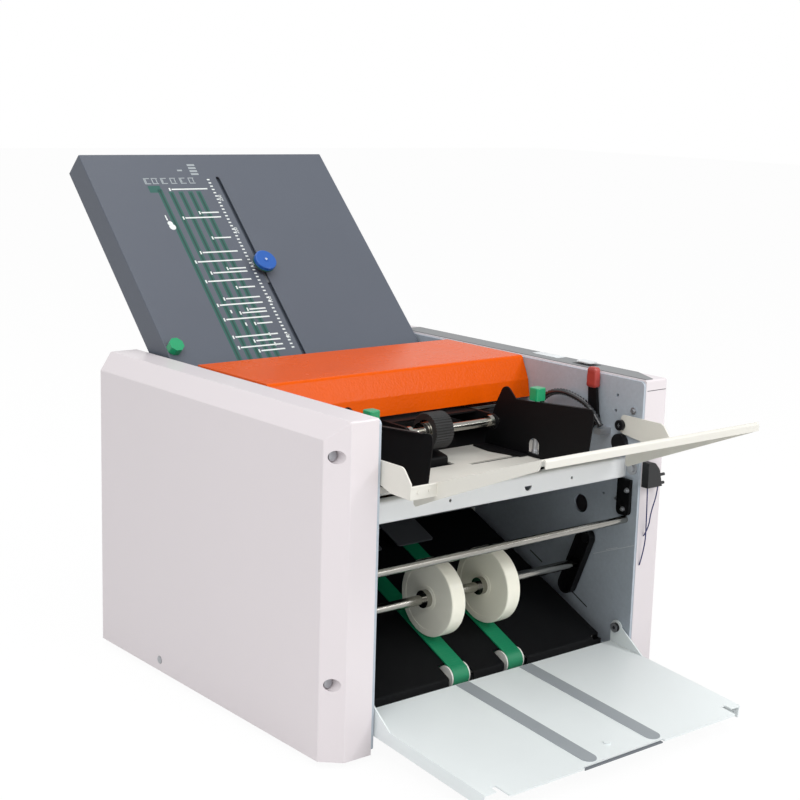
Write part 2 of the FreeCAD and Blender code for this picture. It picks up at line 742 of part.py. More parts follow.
def tie_bar():
    """Round steel bar across the delivery mouth."""
    return rod((TIE_Y, TIE_Z), TIE_R, -FRAME_INNER, FRAME_INNER)


def tie_plates():
    """Black end plates of the tie bar on both frames."""
    front, rear, low, high = TIE_PLATE
    shape = prism([(front, low, 5), (rear, low, 5), (rear, high), (front, high)], "yz",
                  FRAME_INNER - TIE_PLATE_T, FRAME_INNER)
    return both(shape.cut(rod((TIE_Y, TIE_Z), TIE_R + RUN, FRAME_INNER - 9, FRAME_INNER + 1)))


def frame_screws():
    """Screws and washers on the inner faces of the frames."""
    plate_face = FRAME_INNER - TIE_PLATE_T
    shapes = []
    for place, radius, face in (((16.1, 178.6), 2.6, plate_face), ((11.8, 199.3), 2.9, plate_face),
                                ((29.2, 187.0), 2.2, FRAME_INNER),
                                ((10.0, 223.0), 7.0, FRAME_INNER), ((12.4, 282.9), 3.6, FRAME_INNER),
                                ((58.0, 205.0), 2.4, FRAME_INNER)):
        washer = rod(place, radius, face - 1.2, face)
        head = rod(place, radius * 0.55, face - 3.4, face - 1.0)
        shapes.append(washer.fuse(head))
    return shapes + [mirrored(shape) for shape in shapes]


# ---- top cover ------------------------------------------------------------------
def top_cover():
    """Orange cover over the rollers, hinged at its rear corners."""
    line = [(LID_REAR, LID_TOP), (LID_BEND, LID_TOP), LID_LIP_TOP, LID_LIP_LOW]
    top = bent_sheet(line, SHEET, -LID_HALF, LID_HALF, "yz", 3.0)
    edge = LID_HALF - SHEET
    low = LID_TOP - SHEET - LID_SIDE
    side = prism([(LID_REAR - 12, LID_TOP - SHEET), (LID_BEND + 2, LID_TOP - SHEET), (LID_BEND + 2, low, 3),
                  (LID_REAR - 12, low)], "yz", edge, LID_HALF)
    ear = link(LID_HINGE, (LID_HINGE[0], LID_TOP - SHEET - LID_EAR_R), LID_EAR_R, edge, LID_HALF)
    sides = []
    for part in (side, ear):
        sides += [part, mirrored(part)]
    shape = joined([top] + sides)
    shape = shape.cut(rod(LID_HINGE, LID_HINGE_R + RUN, -LID_HALF - 1, LID_HALF + 1))
    x, half, high = LID_NOTCH
    low = LID_LIP_LOW[1]
    notch = prism([(x - half, low - 1), (x + half, low - 1), (x + half, low + high, half * 0.95),
                   (x - half, low + high, half * 0.95)], "xz", LID_LIP_LOW[0] - 5, LID_LIP_TOP[0] + 5)
    return shape.cut(notch)


def hinge_pins():
    """Steel pins on the frames that the top cover turns on."""
    return both(rod(LID_HINGE, LID_HINGE_R, LID_HALF - SHEET - 4, FRAME_INNER))


# ---- upper fold plate -------------------------------------------------------------
def in_plate(shape):
    """Carry a shape drawn flat to the slope of the upper fold plate."""
    return tilted(shape, PLATE_Y, PLATE_Z, PLATE_TILT)


def fold_plate():
    """Front sheet of the upper fold plate with its flanges turned back."""
    body = block((-PLATE_HALF, PLATE_HALF), (PLATE_LOW, PLATE_TOP), (-PLATE_THICK, 0))
    edges = [edge for edge in body.Edges if edge.BoundBox.YMin > PLATE_TOP - 1 or
             (edge.BoundBox.ZMin > -1 and edge.BoundBox.XMax - edge.BoundBox.XMin < 1)]
    body = body.makeFillet(1.6, edges)
    inside = block((-PLATE_HALF + SHEET, PLATE_HALF - SHEET), (PLATE_LOW - 1, PLATE_TOP - SHEET),
                   (-PLATE_THICK - 1, -SHEET))
    tongue = block((-PAPER_HALF, PAPER_HALF), (PLATE_TONGUE, PLATE_LOW + 1), (-SHEET, 0))
    slot = block((-PLATE_SLOT_HALF, PLATE_SLOT_HALF), (PLATE_TONGUE + 30, PLATE_SLOT_TOP), (-5, 5))
    slot = slot.fuse(post(0, PLATE_SLOT_TOP, PLATE_SLOT_HALF, -5, 5))
    clamp = post(CLAMP_X, CLAMP_AT, CLAMP_STEM_R + RUN, -5, 5)
    return in_plate(joined([body.cut(inside), tongue]).cut(slot).cut(clamp))


def paper_sheet():
    """Rear sheet of the paper slot inside the upper fold plate."""
    line = [(-PAPER_HALF, -SHEET), (-PAPER_HALF, STOP_FACE - SHEET), (PAPER_HALF, STOP_FACE - SHEET),
            (PAPER_HALF, -SHEET)]
    return in_plate(bent_sheet(line, SHEET, PLATE_TONGUE, PAPER_TOP, "xz", 0.6))


def plate_back():
    """Closing sheet on the underside of the upper fold plate."""
    edge = PLATE_HALF - SHEET
    low = block((-edge, edge), (PLATE_LOW, PLATE_TOP - SHEET), (-PLATE_THICK, -PLATE_THICK + SHEET))
    ribs = [block((x - 1, x + 1), (PLATE_LOW, PAPER_TOP - 4), (-PLATE_THICK + SHEET, STOP_FACE - SHEET))
            for x in (-120.0, 0.0, 120.0)]
    return in_plate(joined([low] + ribs))


def fold_stop():
    """Stop that the sheet's edge runs against, with its clamp stem and washer."""
    middle = STOP_FACE + PAPER_GAP / 2
    low = middle - STOP_T / 2
    bar = block((-STOP_HALF, STOP_HALF), (STOP_AT - STOP_DEEP, STOP_AT + 6), (low, low + STOP_T))
    stem = post(0, STOP_AT, STOP_STEM_R, low, GAP + 0.5)
    washer = post(0, STOP_AT, 8.0, GAP, GAP + 1.2)
    bolt = post(0, STOP_AT, 1.9, GAP, GAP + 5)
    return in_plate(joined([bar, stem, washer, bolt]))


def stop_knob():
    """Blue knob on a slimmer neck that clamps the fold stop."""
    low = GAP + 1.2 + TOUCH
    head = post(0, STOP_AT, STOP_KNOB_R, low + STOP_NECK_H, low + STOP_KNOB_H)
    top_edge = [edge for edge in head.Edges if edge.BoundBox.ZMin > low + STOP_KNOB_H - 0.1]
    head = head.makeFillet(1.4, top_edge)
    body = head.fuse(post(0, STOP_AT, STOP_NECK_R, low, low + STOP_NECK_H + 1))
    return in_plate(body.cut(post(0, STOP_AT, 1.9 + RUN, low - 1, GAP + 5.2)))


def clamp_knob():
    """Green eight-sided knob that clamps the plate to its bracket."""
    corners = []
    for index in range(8):
        way = math.radians(22.5 + index * 45)
        corners.append((CLAMP_X + CLAMP_R * math.cos(way), CLAMP_AT + CLAMP_R * math.sin(way), 1.0))
    head = prism(corners, "xy", GAP, GAP + CLAMP_H)
    stem = post(CLAMP_X, CLAMP_AT, CLAMP_STEM_R, -PLATE_THICK + SHEET + GAP + 4, GAP + 1)
    return in_plate(head.fuse(stem))


def rest_bars():
    """Two bars between the frames that the upper fold plate lies on."""
    shapes = []
    for along in REST_BARS:
        place = on_plate(along, -PLATE_THICK - REST_BAR_R - TOUCH)
        shapes.append(rod(place, REST_BAR_R, -FRAME_INNER, FRAME_INNER))
    return group(shapes)


# ---- lower fold plate ---------------------------------------------------------------
def in_lower(shape):
    """Carry a shape drawn flat to the slope of the lower fold plate."""
    return tilted(shape, LOWER_REAR[0], LOWER_REAR[1], LOWER_TILT)


def lower_fold_plate():
    """Flat pocket below the feed table for the second fold."""
    high = PAPER_GAP + 2 * LOWER_SHEET
    body = block((-LOWER_HALF, LOWER_HALF), (-LOWER_LONG, 0), (0, high))
    pocket = block((-LOWER_HALF + 3, LOWER_HALF - 3), (-LOWER_LONG + LOWER_SHEET, 1),
                   (LOWER_SHEET, LOWER_SHEET + PAPER_GAP))
    slot = block((-3, 3), (-LOWER_SLOT[1], -LOWER_SLOT[0]), (-1, LOWER_SHEET + 0.5))
    tab = block((LOWER_HALF - 1, FRAME_INNER), (-60, -20), (0, high))
    return in_lower(joined([body.cut(pocket).cut(slot), tab, mirrored(tab)]))


def lower_stop():
    """Stop of the lower fold plate with its thumb stem."""
    low = LOWER_SHEET + (PAPER_GAP - LOWER_STOP_T) / 2
    bar = block((-LOWER_HALF + 8, LOWER_HALF - 8), (-LOWER_STOP_AT - LOWER_STOP_DEEP / 2,
                                                    -LOWER_STOP_AT + LOWER_STOP_DEEP / 2),
                (low, low + LOWER_STOP_T))
    stem = post(0, -LOWER_STOP_AT, 2.5, -6, low + 1)
    return in_lower(joined([bar, stem, post(0, -LOWER_STOP_AT, 9, -14, -5)]))


# ---- folding rollers and drive --------------------------------------------------------
def fold_roller(index):
    """Folding roller on its shaft; the drive end is on the left."""
    place = ROLLERS[index]
    reach = {0: FEED_BELT_IN + BELT_WIDE, 1: DRIVE_IN + BELT_WIDE + 1}
    left = reach.get(index, GEAR_IN + GEAR_WIDE)
    right = DRIVE_IN + BELT_WIDE if index == 2 else BEARING_IN + BEARING_WIDE + 2
    shape = rod(place, ROLLER_R, -ROLLER_HALF, ROLLER_HALF)
    return shape.fuse(rod(place, ROLLER_SHAFT_R, -left, right))


def roller_gear(index):
    """Spur gear on a roller's shaft; neighbours stand half a tooth apart."""
    y, z = ROLLERS[index]
    step = 2 * math.pi / GEAR_TEETH
    start = gear_phase(index)
    points = []
    for tooth in range(GEAR_TEETH):
        base = start + tooth * step
        for turn, radius in TOOTH_SHAPE:
            reach = ROLLER_PITCH_R + radius
            way = base + turn * step
            points.append((y + reach * math.cos(way), z + reach * math.sin(way)))
    gear = prism(points, "yz", -GEAR_IN - GEAR_WIDE, -GEAR_IN)
    return gear.cut(rod((y, z), ROLLER_SHAFT_R, -GEAR_IN - GEAR_WIDE - 1, -GEAR_IN + 1))


def gear_phase(index):
    """Angle of the first tooth, chosen so that each tooth meets a space."""
    step = 2 * math.pi / GEAR_TEETH
    phase = 0.0
    for number in range(index):
        way = math.radians(ROLLER_TURNS[number])
        phase = way + math.pi - (phase - way) + step / 2
    return phase


def bearings():
    """Bushes of the four rollers in both frames."""
    shapes = []
    for place in ROLLERS:
        bush = ring(place, BEARING_R, ROLLER_SHAFT_R + RUN, BEARING_IN, BEARING_IN + BEARING_WIDE)
        shapes += [bush, mirrored(bush)]
    return group(shapes)


def pulley(place, radius, start, bore):
    """Belt pulley with two rims on a shaft along X."""
    end = start + BELT_WIDE
    shape = rod(place, radius, start, end)
    for edge in (start - 1, end):
        shape = shape.fuse(rod(place, radius + BELT_T * 0.6, edge, edge + 1))
    return shape.cut(rod(place, bore, start - 2, end + 2)).removeSplitter()


def belt(first, first_r, second, second_r, start):
    """Drive belt that clears its two pulleys."""
    radii = (first_r + GAP, second_r + GAP)
    return loop(first, second, radii, BELT_T, start + GAP, start + BELT_WIDE - GAP)


def motor():
    """Drive motor with its flange against the left frame."""
    y, z = MOTOR_AT
    start = -FRAME_INNER
    half = MOTOR_FLANGE / 2
    flange = prism([(y - half, z - half, 6), (y + half, z - half, 6), (y + half, z + half, 6),
                    (y - half, z + half, 6)], "yz", start, start + MOTOR_FLANGE_T)
    can = rod(MOTOR_AT, MOTOR_R, start + MOTOR_FLANGE_T, start + MOTOR_LONG)
    cap = rod(MOTOR_AT, MOTOR_R * 0.6, start + MOTOR_LONG, start + MOTOR_LONG + 8)
    bore = rod(MOTOR_AT, MOTOR_SHAFT_R + RUN, start - 1, start + MOTOR_BORE)
    return joined([flange, can, cap]).cut(bore)


def motor_shaft():
    """Output shaft of the motor."""
    return rod(MOTOR_AT, MOTOR_SHAFT_R, -DRIVE_IN - BELT_WIDE - 1, -FRAME_INNER + MOTOR_BORE - 1)


# ---- feed head ----------------------------------------------------------------------
def head_shaft():
    """Cross shaft that drives the feed roller."""
    return rod(HEAD_SHAFT, HEAD_SHAFT_R, -FEED_BELT_IN - BELT_WIDE, FRAME_OUTER + 2)


def head_arm():
    """Two side arms and the bridge that carry the feed shaft."""
    bridge_y = (FEED_AT[0] + 24, HEAD_SHAFT[0] - 12)
    high = HEAD_SHAFT[1] + HEAD_ARM_R
    shapes = []
    for x in HEAD_ARM_X:
        shapes.append(link(HEAD_SHAFT, FEED_AT, HEAD_ARM_R, x, x + HEAD_ARM_T))
    shapes.append(block((HEAD_ARM_X[0], HEAD_ARM_X[1] + HEAD_ARM_T), bridge_y, (high - 2.6, high - 1.0)))
    shape = joined(shapes)
    bore_end = HEAD_ARM_X[1] + 9
    shape = shape.cut(rod(HEAD_SHAFT, HEAD_SHAFT_R + RUN, HEAD_ARM_X[0] - 9, bore_end))
    return shape.cut(rod(FEED_AT, FEED_SHAFT_R + RUN, HEAD_ARM_X[0] - 9, bore_end))


def feed_tyre():
    """Ribbed rubber tyre of the feed roller."""
    y, z = FEED_AT
    points = []
    for index in range(FEED_RIBS * 2):
        way = math.pi * (index + 0.5) / FEED_RIBS
        radius = FEED_R if index % 2 else FEED_R - FEED_RIB
        for turn in (-0.2, 0.2):
            lean = way + turn * math.pi / FEED_RIBS
            points.append((y + radius * math.cos(lean), z + radius * math.sin(lean)))
    tyre = prism(points, "yz", -FEED_HALF, FEED_HALF)
    return tyre.cut(rod(FEED_AT, FEED_HUB_R, -FEED_HALF - 1, FEED_HALF + 1))


def feed_hub():
    """Plastic hub inside the feed tyre."""
    shape = rod(FEED_AT, FEED_HUB_R, -FEED_HALF, FEED_HALF)
    return shape.fuse(rod(FEED_AT, 8.0, -FEED_HALF, FEED_HALF + 6))


def feed_shaft():
    """Short shaft of the feed roller in the head arms."""
    return rod(FEED_AT, FEED_SHAFT_R, FEED_SHAFT_X[0], FEED_SHAFT_X[1])


def feed_collars():
    """Shiny set collar and rings beside the feed roller."""
    first = ring(FEED_AT, COLLAR_R, FEED_SHAFT_R, COLLAR_X[0], COLLAR_X[1])
    second = ring(FEED_AT, COLLAR_R - 2, FEED_SHAFT_R, HEAD_ARM_X[1] - 6, HEAD_ARM_X[1] - 1)
    third = ring(FEED_AT, COLLAR_R - 2, FEED_SHAFT_R, HEAD_ARM_X[0] + 4, HEAD_ARM_X[0] + 9)
    return [first, second, third]


def separator():
    """Black separator carrier from frame to frame with its infeed sheet and pad."""
    front, rear, low, high = SEPARATOR_BAR
    bar = block((-FRAME_INNER, FRAME_INNER), (front, rear), (low, high))
    infeed = block((-FRAME_INNER, FRAME_INNER), (front, INFEED_REAR), (high - SHEET, high))
    half = SEPARATOR_HALF
    arm = block((-half, half), (PAD_Y[0], front + 1), (high - 5, high - 1))
    seat = prism([(PAD_Y[0], high - 2), (PAD_Y[1] + 12, high - 2), (PAD_Y[1], PAD_TOP, 3),
                  (PAD_Y[0], PAD_TOP - 5, 3)], "yz", -half, half)
    return joined([bar, infeed, arm, seat])


# ---- feed table -----------------------------------------------------------------------
def table_band(front, rear, half):
    """Part of the feed table's sheet between two distances and as wide as 2 half."""
    line = [(front, table_height(front)), (rear, table_height(rear))]
    if front < TABLE_BEND < rear:
        line.insert(1, (TABLE_BEND, TABLE_Z))
    return bent_sheet(line, -SHEET, -half, half, "yz", 3.0)


def table_front():
    """Centre part of the table with its front and side flanges turned down."""
    half = TABLE_HALF_FRONT
    inset, back = TABLE_CORNER
    line = [(TABLE_FRONT, table_height(TABLE_FRONT) - TABLE_LIP), (TABLE_FRONT, table_height(TABLE_FRONT)),
            (TABLE_WIDE_FROM, table_height(TABLE_WIDE_FROM))]
    skin = bent_sheet(line, -SHEET, -half + inset, half - inset)
    full = bent_sheet([(TABLE_FRONT + back, table_height(TABLE_FRONT + back)), line[-1]],
                      -SHEET, -half, half)
    rear = TABLE_WING[0][0]
    side = [(TABLE_FRONT + back, table_height(TABLE_FRONT + back) - 0.3), (rear, table_height(rear) - 0.3),
            *TABLE_WING]
    wall = prism(side, "yz", half - SHEET, half)
    return [skin, full, wall, mirrored(wall)]


def table_wall():
    """Upright side of the table that ends in the hook round its pin."""
    y, z = HOOK_AT
    edge = TABLE_HALF_MID
    shoulder = table_height(TABLE_SHOULDER)
    points = [(y + 1, TABLE_WALL_TOP, 4), (TABLE_SHOULDER + 11, TABLE_WALL_TOP, 8),
              (TABLE_SHOULDER, shoulder + 2, 3), (TABLE_SHOULDER, shoulder - SHOULDER_LIP),
              *TABLE_WALL_TOE, (y - 3, z - 9), (y + 1, z - 7)]
    wall = prism(points, "yz", edge - SHEET, edge)
    return wall.cut(rod(HOOK_AT, HOOK_R + RUN, edge - 3, edge + 1))


def shoulder_lips():
    """Lips turned down in front of the two shoulders."""
    high = table_height(TABLE_SHOULDER)
    lip = block((TABLE_HALF_FRONT, TABLE_HALF_MID), (TABLE_SHOULDER, TABLE_SHOULDER + SHEET),
                (high - SHOULDER_LIP, high - 0.4))
    return [lip, mirrored(lip)]


def feed_table():
    """Feed table in one bent sheet, hooked on the frames."""
    rear = table_band(TABLE_WIDE_FROM, TABLE_REAR, TABLE_HALF_REAR)
    wide = table_band(TABLE_SHOULDER, TABLE_WIDE_FROM, TABLE_HALF_MID)
    wall = table_wall()
    shape = joined([rear, wide, wall, mirrored(wall)] + table_front() + shoulder_lips() + table_rivets())
    notch = block((-TABLE_NOTCH_HALF, TABLE_NOTCH_HALF), (TABLE_NOTCH_Y, TABLE_REAR + 1),
                  (TABLE_Z - 5, TABLE_Z + 5))
    shape = shape.cut(notch)
    first, last = GUIDE_SLOT_X
    half = GUIDE_SLOT_HALF
    for sign in (1, -1):
        ends = sorted((sign * first, sign * last))
        slot = block(tuple(ends), (GUIDE_SLOT_Y - half, GUIDE_SLOT_Y + half), (TABLE_Z - 5, TABLE_Z + 5))
        shape = shape.cut(slot)
    return shape.cut(post(*TABLE_PINHOLE, 2.0, TABLE_Z - 5, TABLE_Z + 5))


def table_rivets():
    """Flat rivets in the front lips of the shoulders."""
    low = table_height(TABLE_SHOULDER) - SHOULDER_LIP / 2
    shapes = []
    for x in RIVET_X:
        rivet = pin(x, low, 1.7, TABLE_SHOULDER - 0.8, TABLE_SHOULDER + SHEET / 2)
        shapes += [rivet, mirrored(rivet)]
    return shapes


def hook_pins():
    """Pins on the frames that the table's hooks turn on, with a clip over each."""
    stud = rod(HOOK_AT, HOOK_R, FRAME_INNER - HOOK_STICK, FRAME_INNER)
    stud = stud.cut(rod(HOOK_AT, 2.2, FRAME_INNER - HOOK_STICK - 1, FRAME_INNER - HOOK_STICK + 3))
    disc = rod(STOP_DISC, STOP_DISC_R, FRAME_INNER - 5.5, FRAME_INNER)
    return group([stud, mirrored(stud), disc, mirrored(disc)])


def guide_profile():
    """Outline of a side guide's upright sheet in the YZ plane."""
    low = TABLE_Z + GUIDE_LIFT
    slope = math.tan(math.radians(TABLE_RISE))
    toe = low + (TABLE_BEND - GUIDE_FRONT) * slope + 1
    return [(GUIDE_REAR, low), *GUIDE_LINE, (GUIDE_FRONT, toe), (TABLE_BEND, low)]


def side_guide():
    """Right side guide with its inner flange, clamp foot and slot pin."""
    low = TABLE_Z + GUIDE_LIFT
    upright = prism(guide_profile(), "yz", GUIDE_X, GUIDE_X + GUIDE_T)
    arch = prism([(81.0, low + 3.5), (97.0, low + 3.5), (97.0, low + 20.0, 7.5), (81.0, low + 20.0, 7.5)],
                 "yz", GUIDE_X - 1, GUIDE_X + 3)
    flange = prism([(GUIDE_X + 1, GUIDE_REAR), (GUIDE_X - 18, GUIDE_REAR, 2), (GUIDE_X - 21.5, 135.0, 6),
                    (GUIDE_X - 11, 97.0, 2), (GUIDE_X + 1, 97.0)], "xy", low, low + GUIDE_T)
    foot = block((GUIDE_X, GUIDE_FOOT_X), (GUIDE_CLAMP_Y - 8, GUIDE_SLOT_Y + 8), (low, low + GUIDE_T))
    (front, tall), (rear, short) = GUIDE_BAND_LINE
    band = prism([(front, tall - GUIDE_T), (rear, short - GUIDE_T), (rear, short), (front, tall)], "yz",
                 GUIDE_X, GUIDE_X + GUIDE_BAND)
    below = TABLE_Z - SHEET - GAP
    slot_pin = post(GUIDE_ROD_X, GUIDE_SLOT_Y, GUIDE_PIN_R, below - 2.5, low + GUIDE_T)
    head = post(GUIDE_ROD_X, GUIDE_SLOT_Y, GUIDE_PIN_HEAD_R, below - 3.5, below)
    shape = joined([upright.cut(arch), flange, foot, band, slot_pin, head])
    return shape.cut(post(GUIDE_ROD_X, GUIDE_CLAMP_Y, GUIDE_ROD_R + RUN, low - 1, low + 4))


def guide_knob():
    """Green clamp knob of the right side guide on its threaded rod."""
    half = GUIDE_KNOB / 2
    x = GUIDE_ROD_X
    y = GUIDE_CLAMP_Y
    head = prism([(x - half, y - half, 2.5), (x + half, y - half, 2.5), (x + half, y + half, 2.5),
                  (x - half, y + half, 2.5)], "xy", GUIDE_KNOB_Z, GUIDE_KNOB_Z + GUIDE_KNOB_H)
    top = [edge for edge in head.Edges if edge.BoundBox.ZMin > GUIDE_KNOB_Z + GUIDE_KNOB_H - 0.1]
    head = head.makeFillet(1.2, top)
    stem = post(x, y, GUIDE_ROD_R, TABLE_Z + GAP, GUIDE_KNOB_Z + 1)
    low = TABLE_Z + GUIDE_LIFT + GUIDE_T + TOUCH
    return joined([head, stem, post(x, y, 3.4, low, low + 4)])


# ---- table lever ------------------------------------------------------------------------
def lever_stem():
    """Black lever with the pin that lifts the table."""
    start, end = LEVER_X
    y, z = LEVER_TIP
    upper = prism([(LEVER_AT[0] - 7, LEVER_AT[1]), (LEVER_AT[0] + 7, LEVER_AT[1]), (y + LEVER_HALF, z),
                   (y + 4, z + 12), (y - 4, z + 12), (y - LEVER_HALF, z)], "yz", start, end)
    hub = rod(LEVER_AT, 8.0, start, end)
    lower = link(LEVER_AT, LEVER_PIN, 5.0, start, end)
    finger = rod(LEVER_PIN, LEVER_PIN_R, LEVER_PIN_IN, start + 1)
    shape = joined([upper, hub, lower, finger])
    return shape.cut(rod(LEVER_AT, LEVER_STUD_R + RUN, start - 1, end + 1))


def lever_grip():
    """Red grip pushed over the lever's tip."""
    y, z = LEVER_TIP
    start, end = GRIP_X
    body = prism([(y - GRIP_HALF_Y, GRIP_LOW, 2), (y + GRIP_HALF_Y, GRIP_LOW, 2),
                  (y + GRIP_HALF_Y, GRIP_TOP, 5.5), (y - GRIP_HALF_Y, GRIP_TOP, 5.5)], "yz", start, end)
    pocket = prism([(y - LEVER_HALF - 2, GRIP_LOW - 1), (y + LEVER_HALF + 2, GRIP_LOW - 1),
                    (y + LEVER_HALF, z), (y + 4, z + 12), (y - 4, z + 12), (y - LEVER_HALF, z)],
                   "yz", LEVER_X[0], LEVER_X[1])
    return body.cut(pocket)


def lever_stud():
    """Stud on the right frame that the lever turns on."""
    stud = rod(LEVER_AT, LEVER_STUD_R, LEVER_X[0] - 1, FRAME_INNER)
    return stud.fuse(rod(LEVER_AT, LEVER_STUD_R + 1.5, LEVER_X[0] - 2.5, LEVER_X[0] - GAP))


# ---- delivery ---------------------------------------------------------------------------
def deck():
    """Black delivery deck with slots for the belt pulleys."""
    top = -(STRAP_T + GAP)
    line = [(DECK_FRONT, DECK_LOW), (DECK_FRONT, deck_height(DECK_FRONT, top)),
            (DECK_REAR, deck_height(DECK_REAR, top))]
    skin = bent_sheet(line, -SHEET, -DECK_HALF, DECK_HALF)
    floor = FRAME_LOW + BASE_T
    under = top - SHEET / 2
    side = prism([(DECK_FRONT + SHEET, deck_height(DECK_FRONT + SHEET, under)),
                  (DECK_FRONT + SHEET, DECK_LOW), (DECK_FRONT + 24, floor), (DECK_REAR, floor),
                  (DECK_REAR, deck_height(DECK_REAR, under))], "yz", DECK_HALF - SHEET, DECK_HALF)
    shape = joined([skin, side, mirrored(side)])
    for x in STRAP_X:
        for place, span in ((FRONT_PULLEY, (DECK_FRONT - 1, FRONT_PULLEY[0] + DECK_SLOT_PAST)),
                            (REAR_PULLEY, (REAR_PULLEY[0] - DECK_SLOT_LONG, DECK_REAR + 1))):
            slot = block((x - DECK_SLOT_LEFT, x + DECK_SLOT_RIGHT), span, (place[1] - 14, place[1] + 14))
            shape = shape.cut(slot)
    for place in (FRONT_PULLEY, REAR_PULLEY):
        shape = shape.cut(rod(place, PULLEY_SHAFT_R + RUN, -DECK_HALF - 1, DECK_HALF + 1))
    notch = block((DECK_HALF - 12, DECK_HALF + 1), (DECK_FRONT - 1, DECK_FRONT + 5), (DECK_LOW + 8, 60))
    return shape.cut(notch)


def straps():
    """Two green endless delivery belts."""
    reach = PULLEY_R + GAP
    shapes = []
    for x in STRAP_X:
        half = STRAP_WIDE / 2
        shapes.append(loop(FRONT_PULLEY, REAR_PULLEY, (reach, reach), STRAP_T, x - half, x + half))
    return group(shapes)


def strap_pulleys(place):
    """White flanged pulleys of both belts at one end."""
    shapes = []
    for x in STRAP_X:
        half = STRAP_WIDE / 2 + GAP
        body = rod(place, PULLEY_R, x - half, x + half)
        for edge in (x - half - PULLEY_FLANGE, x + half):
            body = body.fuse(rod(place, PULLEY_FLANGE_R, edge, edge + PULLEY_FLANGE))
        shapes.append(body.cut(rod(place, PULLEY_SHAFT_R, x - half - 9, x + half + 9)))
    return shapes


def rear_wheel():
    """Pulley that drives the rear axle, outside the right frame."""
    return pulley(REAR_PULLEY, DELIVERY_PULLEY_R, DRIVE_IN, PULLEY_SHAFT_R)


def front_axle():
    """Shaft of the front belt pulleys in the deck's sides."""
    return rod(FRONT_PULLEY, PULLEY_SHAFT_R, -DECK_HALF - 3, DECK_HALF + 3)


def rear_axle():
    """Driven shaft of the rear belt pulleys, from frame to frame."""
    return rod(REAR_PULLEY, PULLEY_SHAFT_R, -FRAME_OUTER - 2, DRIVE_IN + BELT_WIDE)


def nip_wheel(x):
    """Cream plastic wheel with a shallow recess in both faces."""
    half = WHEEL_WIDE / 2
    body = rod(WHEEL_AT, WHEEL_R, x - half, x + half)
    rim = [edge for edge in body.Edges if edge.Length > 2 * WHEEL_R]
    body = body.makeFillet(1.2, rim)
    for start in (x - half - 1, x + half - WHEEL_RECESS):
        dish = ring(WHEEL_AT, WHEEL_R - WHEEL_RIM, WHEEL_HUB_R, start, start + 1 + WHEEL_RECESS)
        body = body.cut(dish)
    return body.cut(rod(WHEEL_AT, WHEEL_SHAFT_R, x - half - 1, x + half + 1))


def wheel_shaft():
    """Steel shaft of the nip wheels."""
    reach = ARM_X[1]
    return rod(WHEEL_AT, WHEEL_SHAFT_R, -reach, reach)


def wheel_collars():
    """Dark set collars on both sides of each nip wheel."""
    half = WHEEL_WIDE / 2
    shapes = []
    for x in WHEEL_X:
        for start in (x - half - WHEEL_COLLAR, x + half):
            shapes.append(ring(WHEEL_AT, WHEEL_COLLAR_R, WHEEL_SHAFT_R, start, start + WHEEL_COLLAR))
    return shapes


def swing_arms():
    """Black channel arms that carry the wheel shaft."""
    start, end = ARM_X
    reach = 1.0 + ARM_TAIL / math.dist(ARM_PIVOT, WHEEL_AT)
    tail = tuple(pivot + (wheel - pivot) * reach for pivot, wheel in zip(ARM_PIVOT, WHEEL_AT))
    channel = link(ARM_PIVOT, tail, ARM_R, start, end)
    channel = channel.cut(link(ARM_PIVOT, tail, ARM_R - ARM_WALL, start - 1, end - ARM_WALL))
    channel = channel.cut(rod(ARM_PIVOT, ARM_PIN_R + RUN, start - 1, end + 1))
    return both(channel.cut(rod(WHEEL_AT, WHEEL_SHAFT_R + RUN, start - 1, end + 1)))


def arm_pins():
    """Pivot pins of the swing arms on the frames."""
    pivot = rod(ARM_PIVOT, ARM_PIN_R, ARM_X[1] - ARM_WALL - 3, FRAME_INNER)
    inside = ARM_X[1] - ARM_WALL
    return both(pivot.fuse(rod(ARM_PIVOT, ARM_PIN_R + 1.5, inside - 4, inside - GAP)))


def delivery_guide():
    """Sheet above the rear of the deck whose grey tongues hold the paper down."""
    start, end, above = TONGUE_AT
    before, behind = TONGUE_SHEET
    line = [on_deck(end - before, above), on_deck(end + behind, above), TONGUE_SHEET_END]
    shapes = [bent_sheet(line, SHEET, -FRAME_INNER, FRAME_INNER)]
    for first, last in TONGUE_X:
        tongue = prism([(first, start, 3), (last, start, 3), (last, end), (first, end)], "xy",
                       above, above + SHEET)
        shapes.append(tilted(tongue, DECK_Y, DECK_Z, DECK_TILT))
    return joined(shapes)


# ---- exit tray ----------------------------------------------------------------------------
def in_tray(shape):
    """Carry a shape drawn flat to the slope of the exit tray."""
    return tilted(shape, TRAY_Y, TRAY_Z, TRAY_TILT)


def tray_sheet():
    """Flat of the exit tray with its side flanges, drawn level."""
    half = TRAY_HALF
    front = TRAY_HALF_FRONT
    notch = TRAY_NOTCH
    left, right = EXTEND_X
    plan = [(-half, 0), (half, 0), (half, -TRAY_SHORT), (front + notch, -TRAY_SHORT),
            (front + notch, -TRAY_SHORT + 8), (front, -TRAY_SHORT + 8), (front, -TRAY_LONG, 2),
            (right + 1.5, -TRAY_LONG), (right + 1.5, -TRAY_LONG + 3), (left - 1.5, -TRAY_LONG + 3),
            (left - 1.5, -TRAY_LONG), (-front, -TRAY_LONG, 2), (-front, -TRAY_SHORT + 8),
            (-front - notch, -TRAY_SHORT + 8), (-front - notch, -TRAY_SHORT), (-half, -TRAY_SHORT)]
    flat = prism(plan, "xy", -SHEET, 0)
    side = block((half - SHEET, half), (-TRAY_SHORT, 0), (-TRAY_LIP, -SHEET / 2))
    return [flat, side, mirrored(side)]


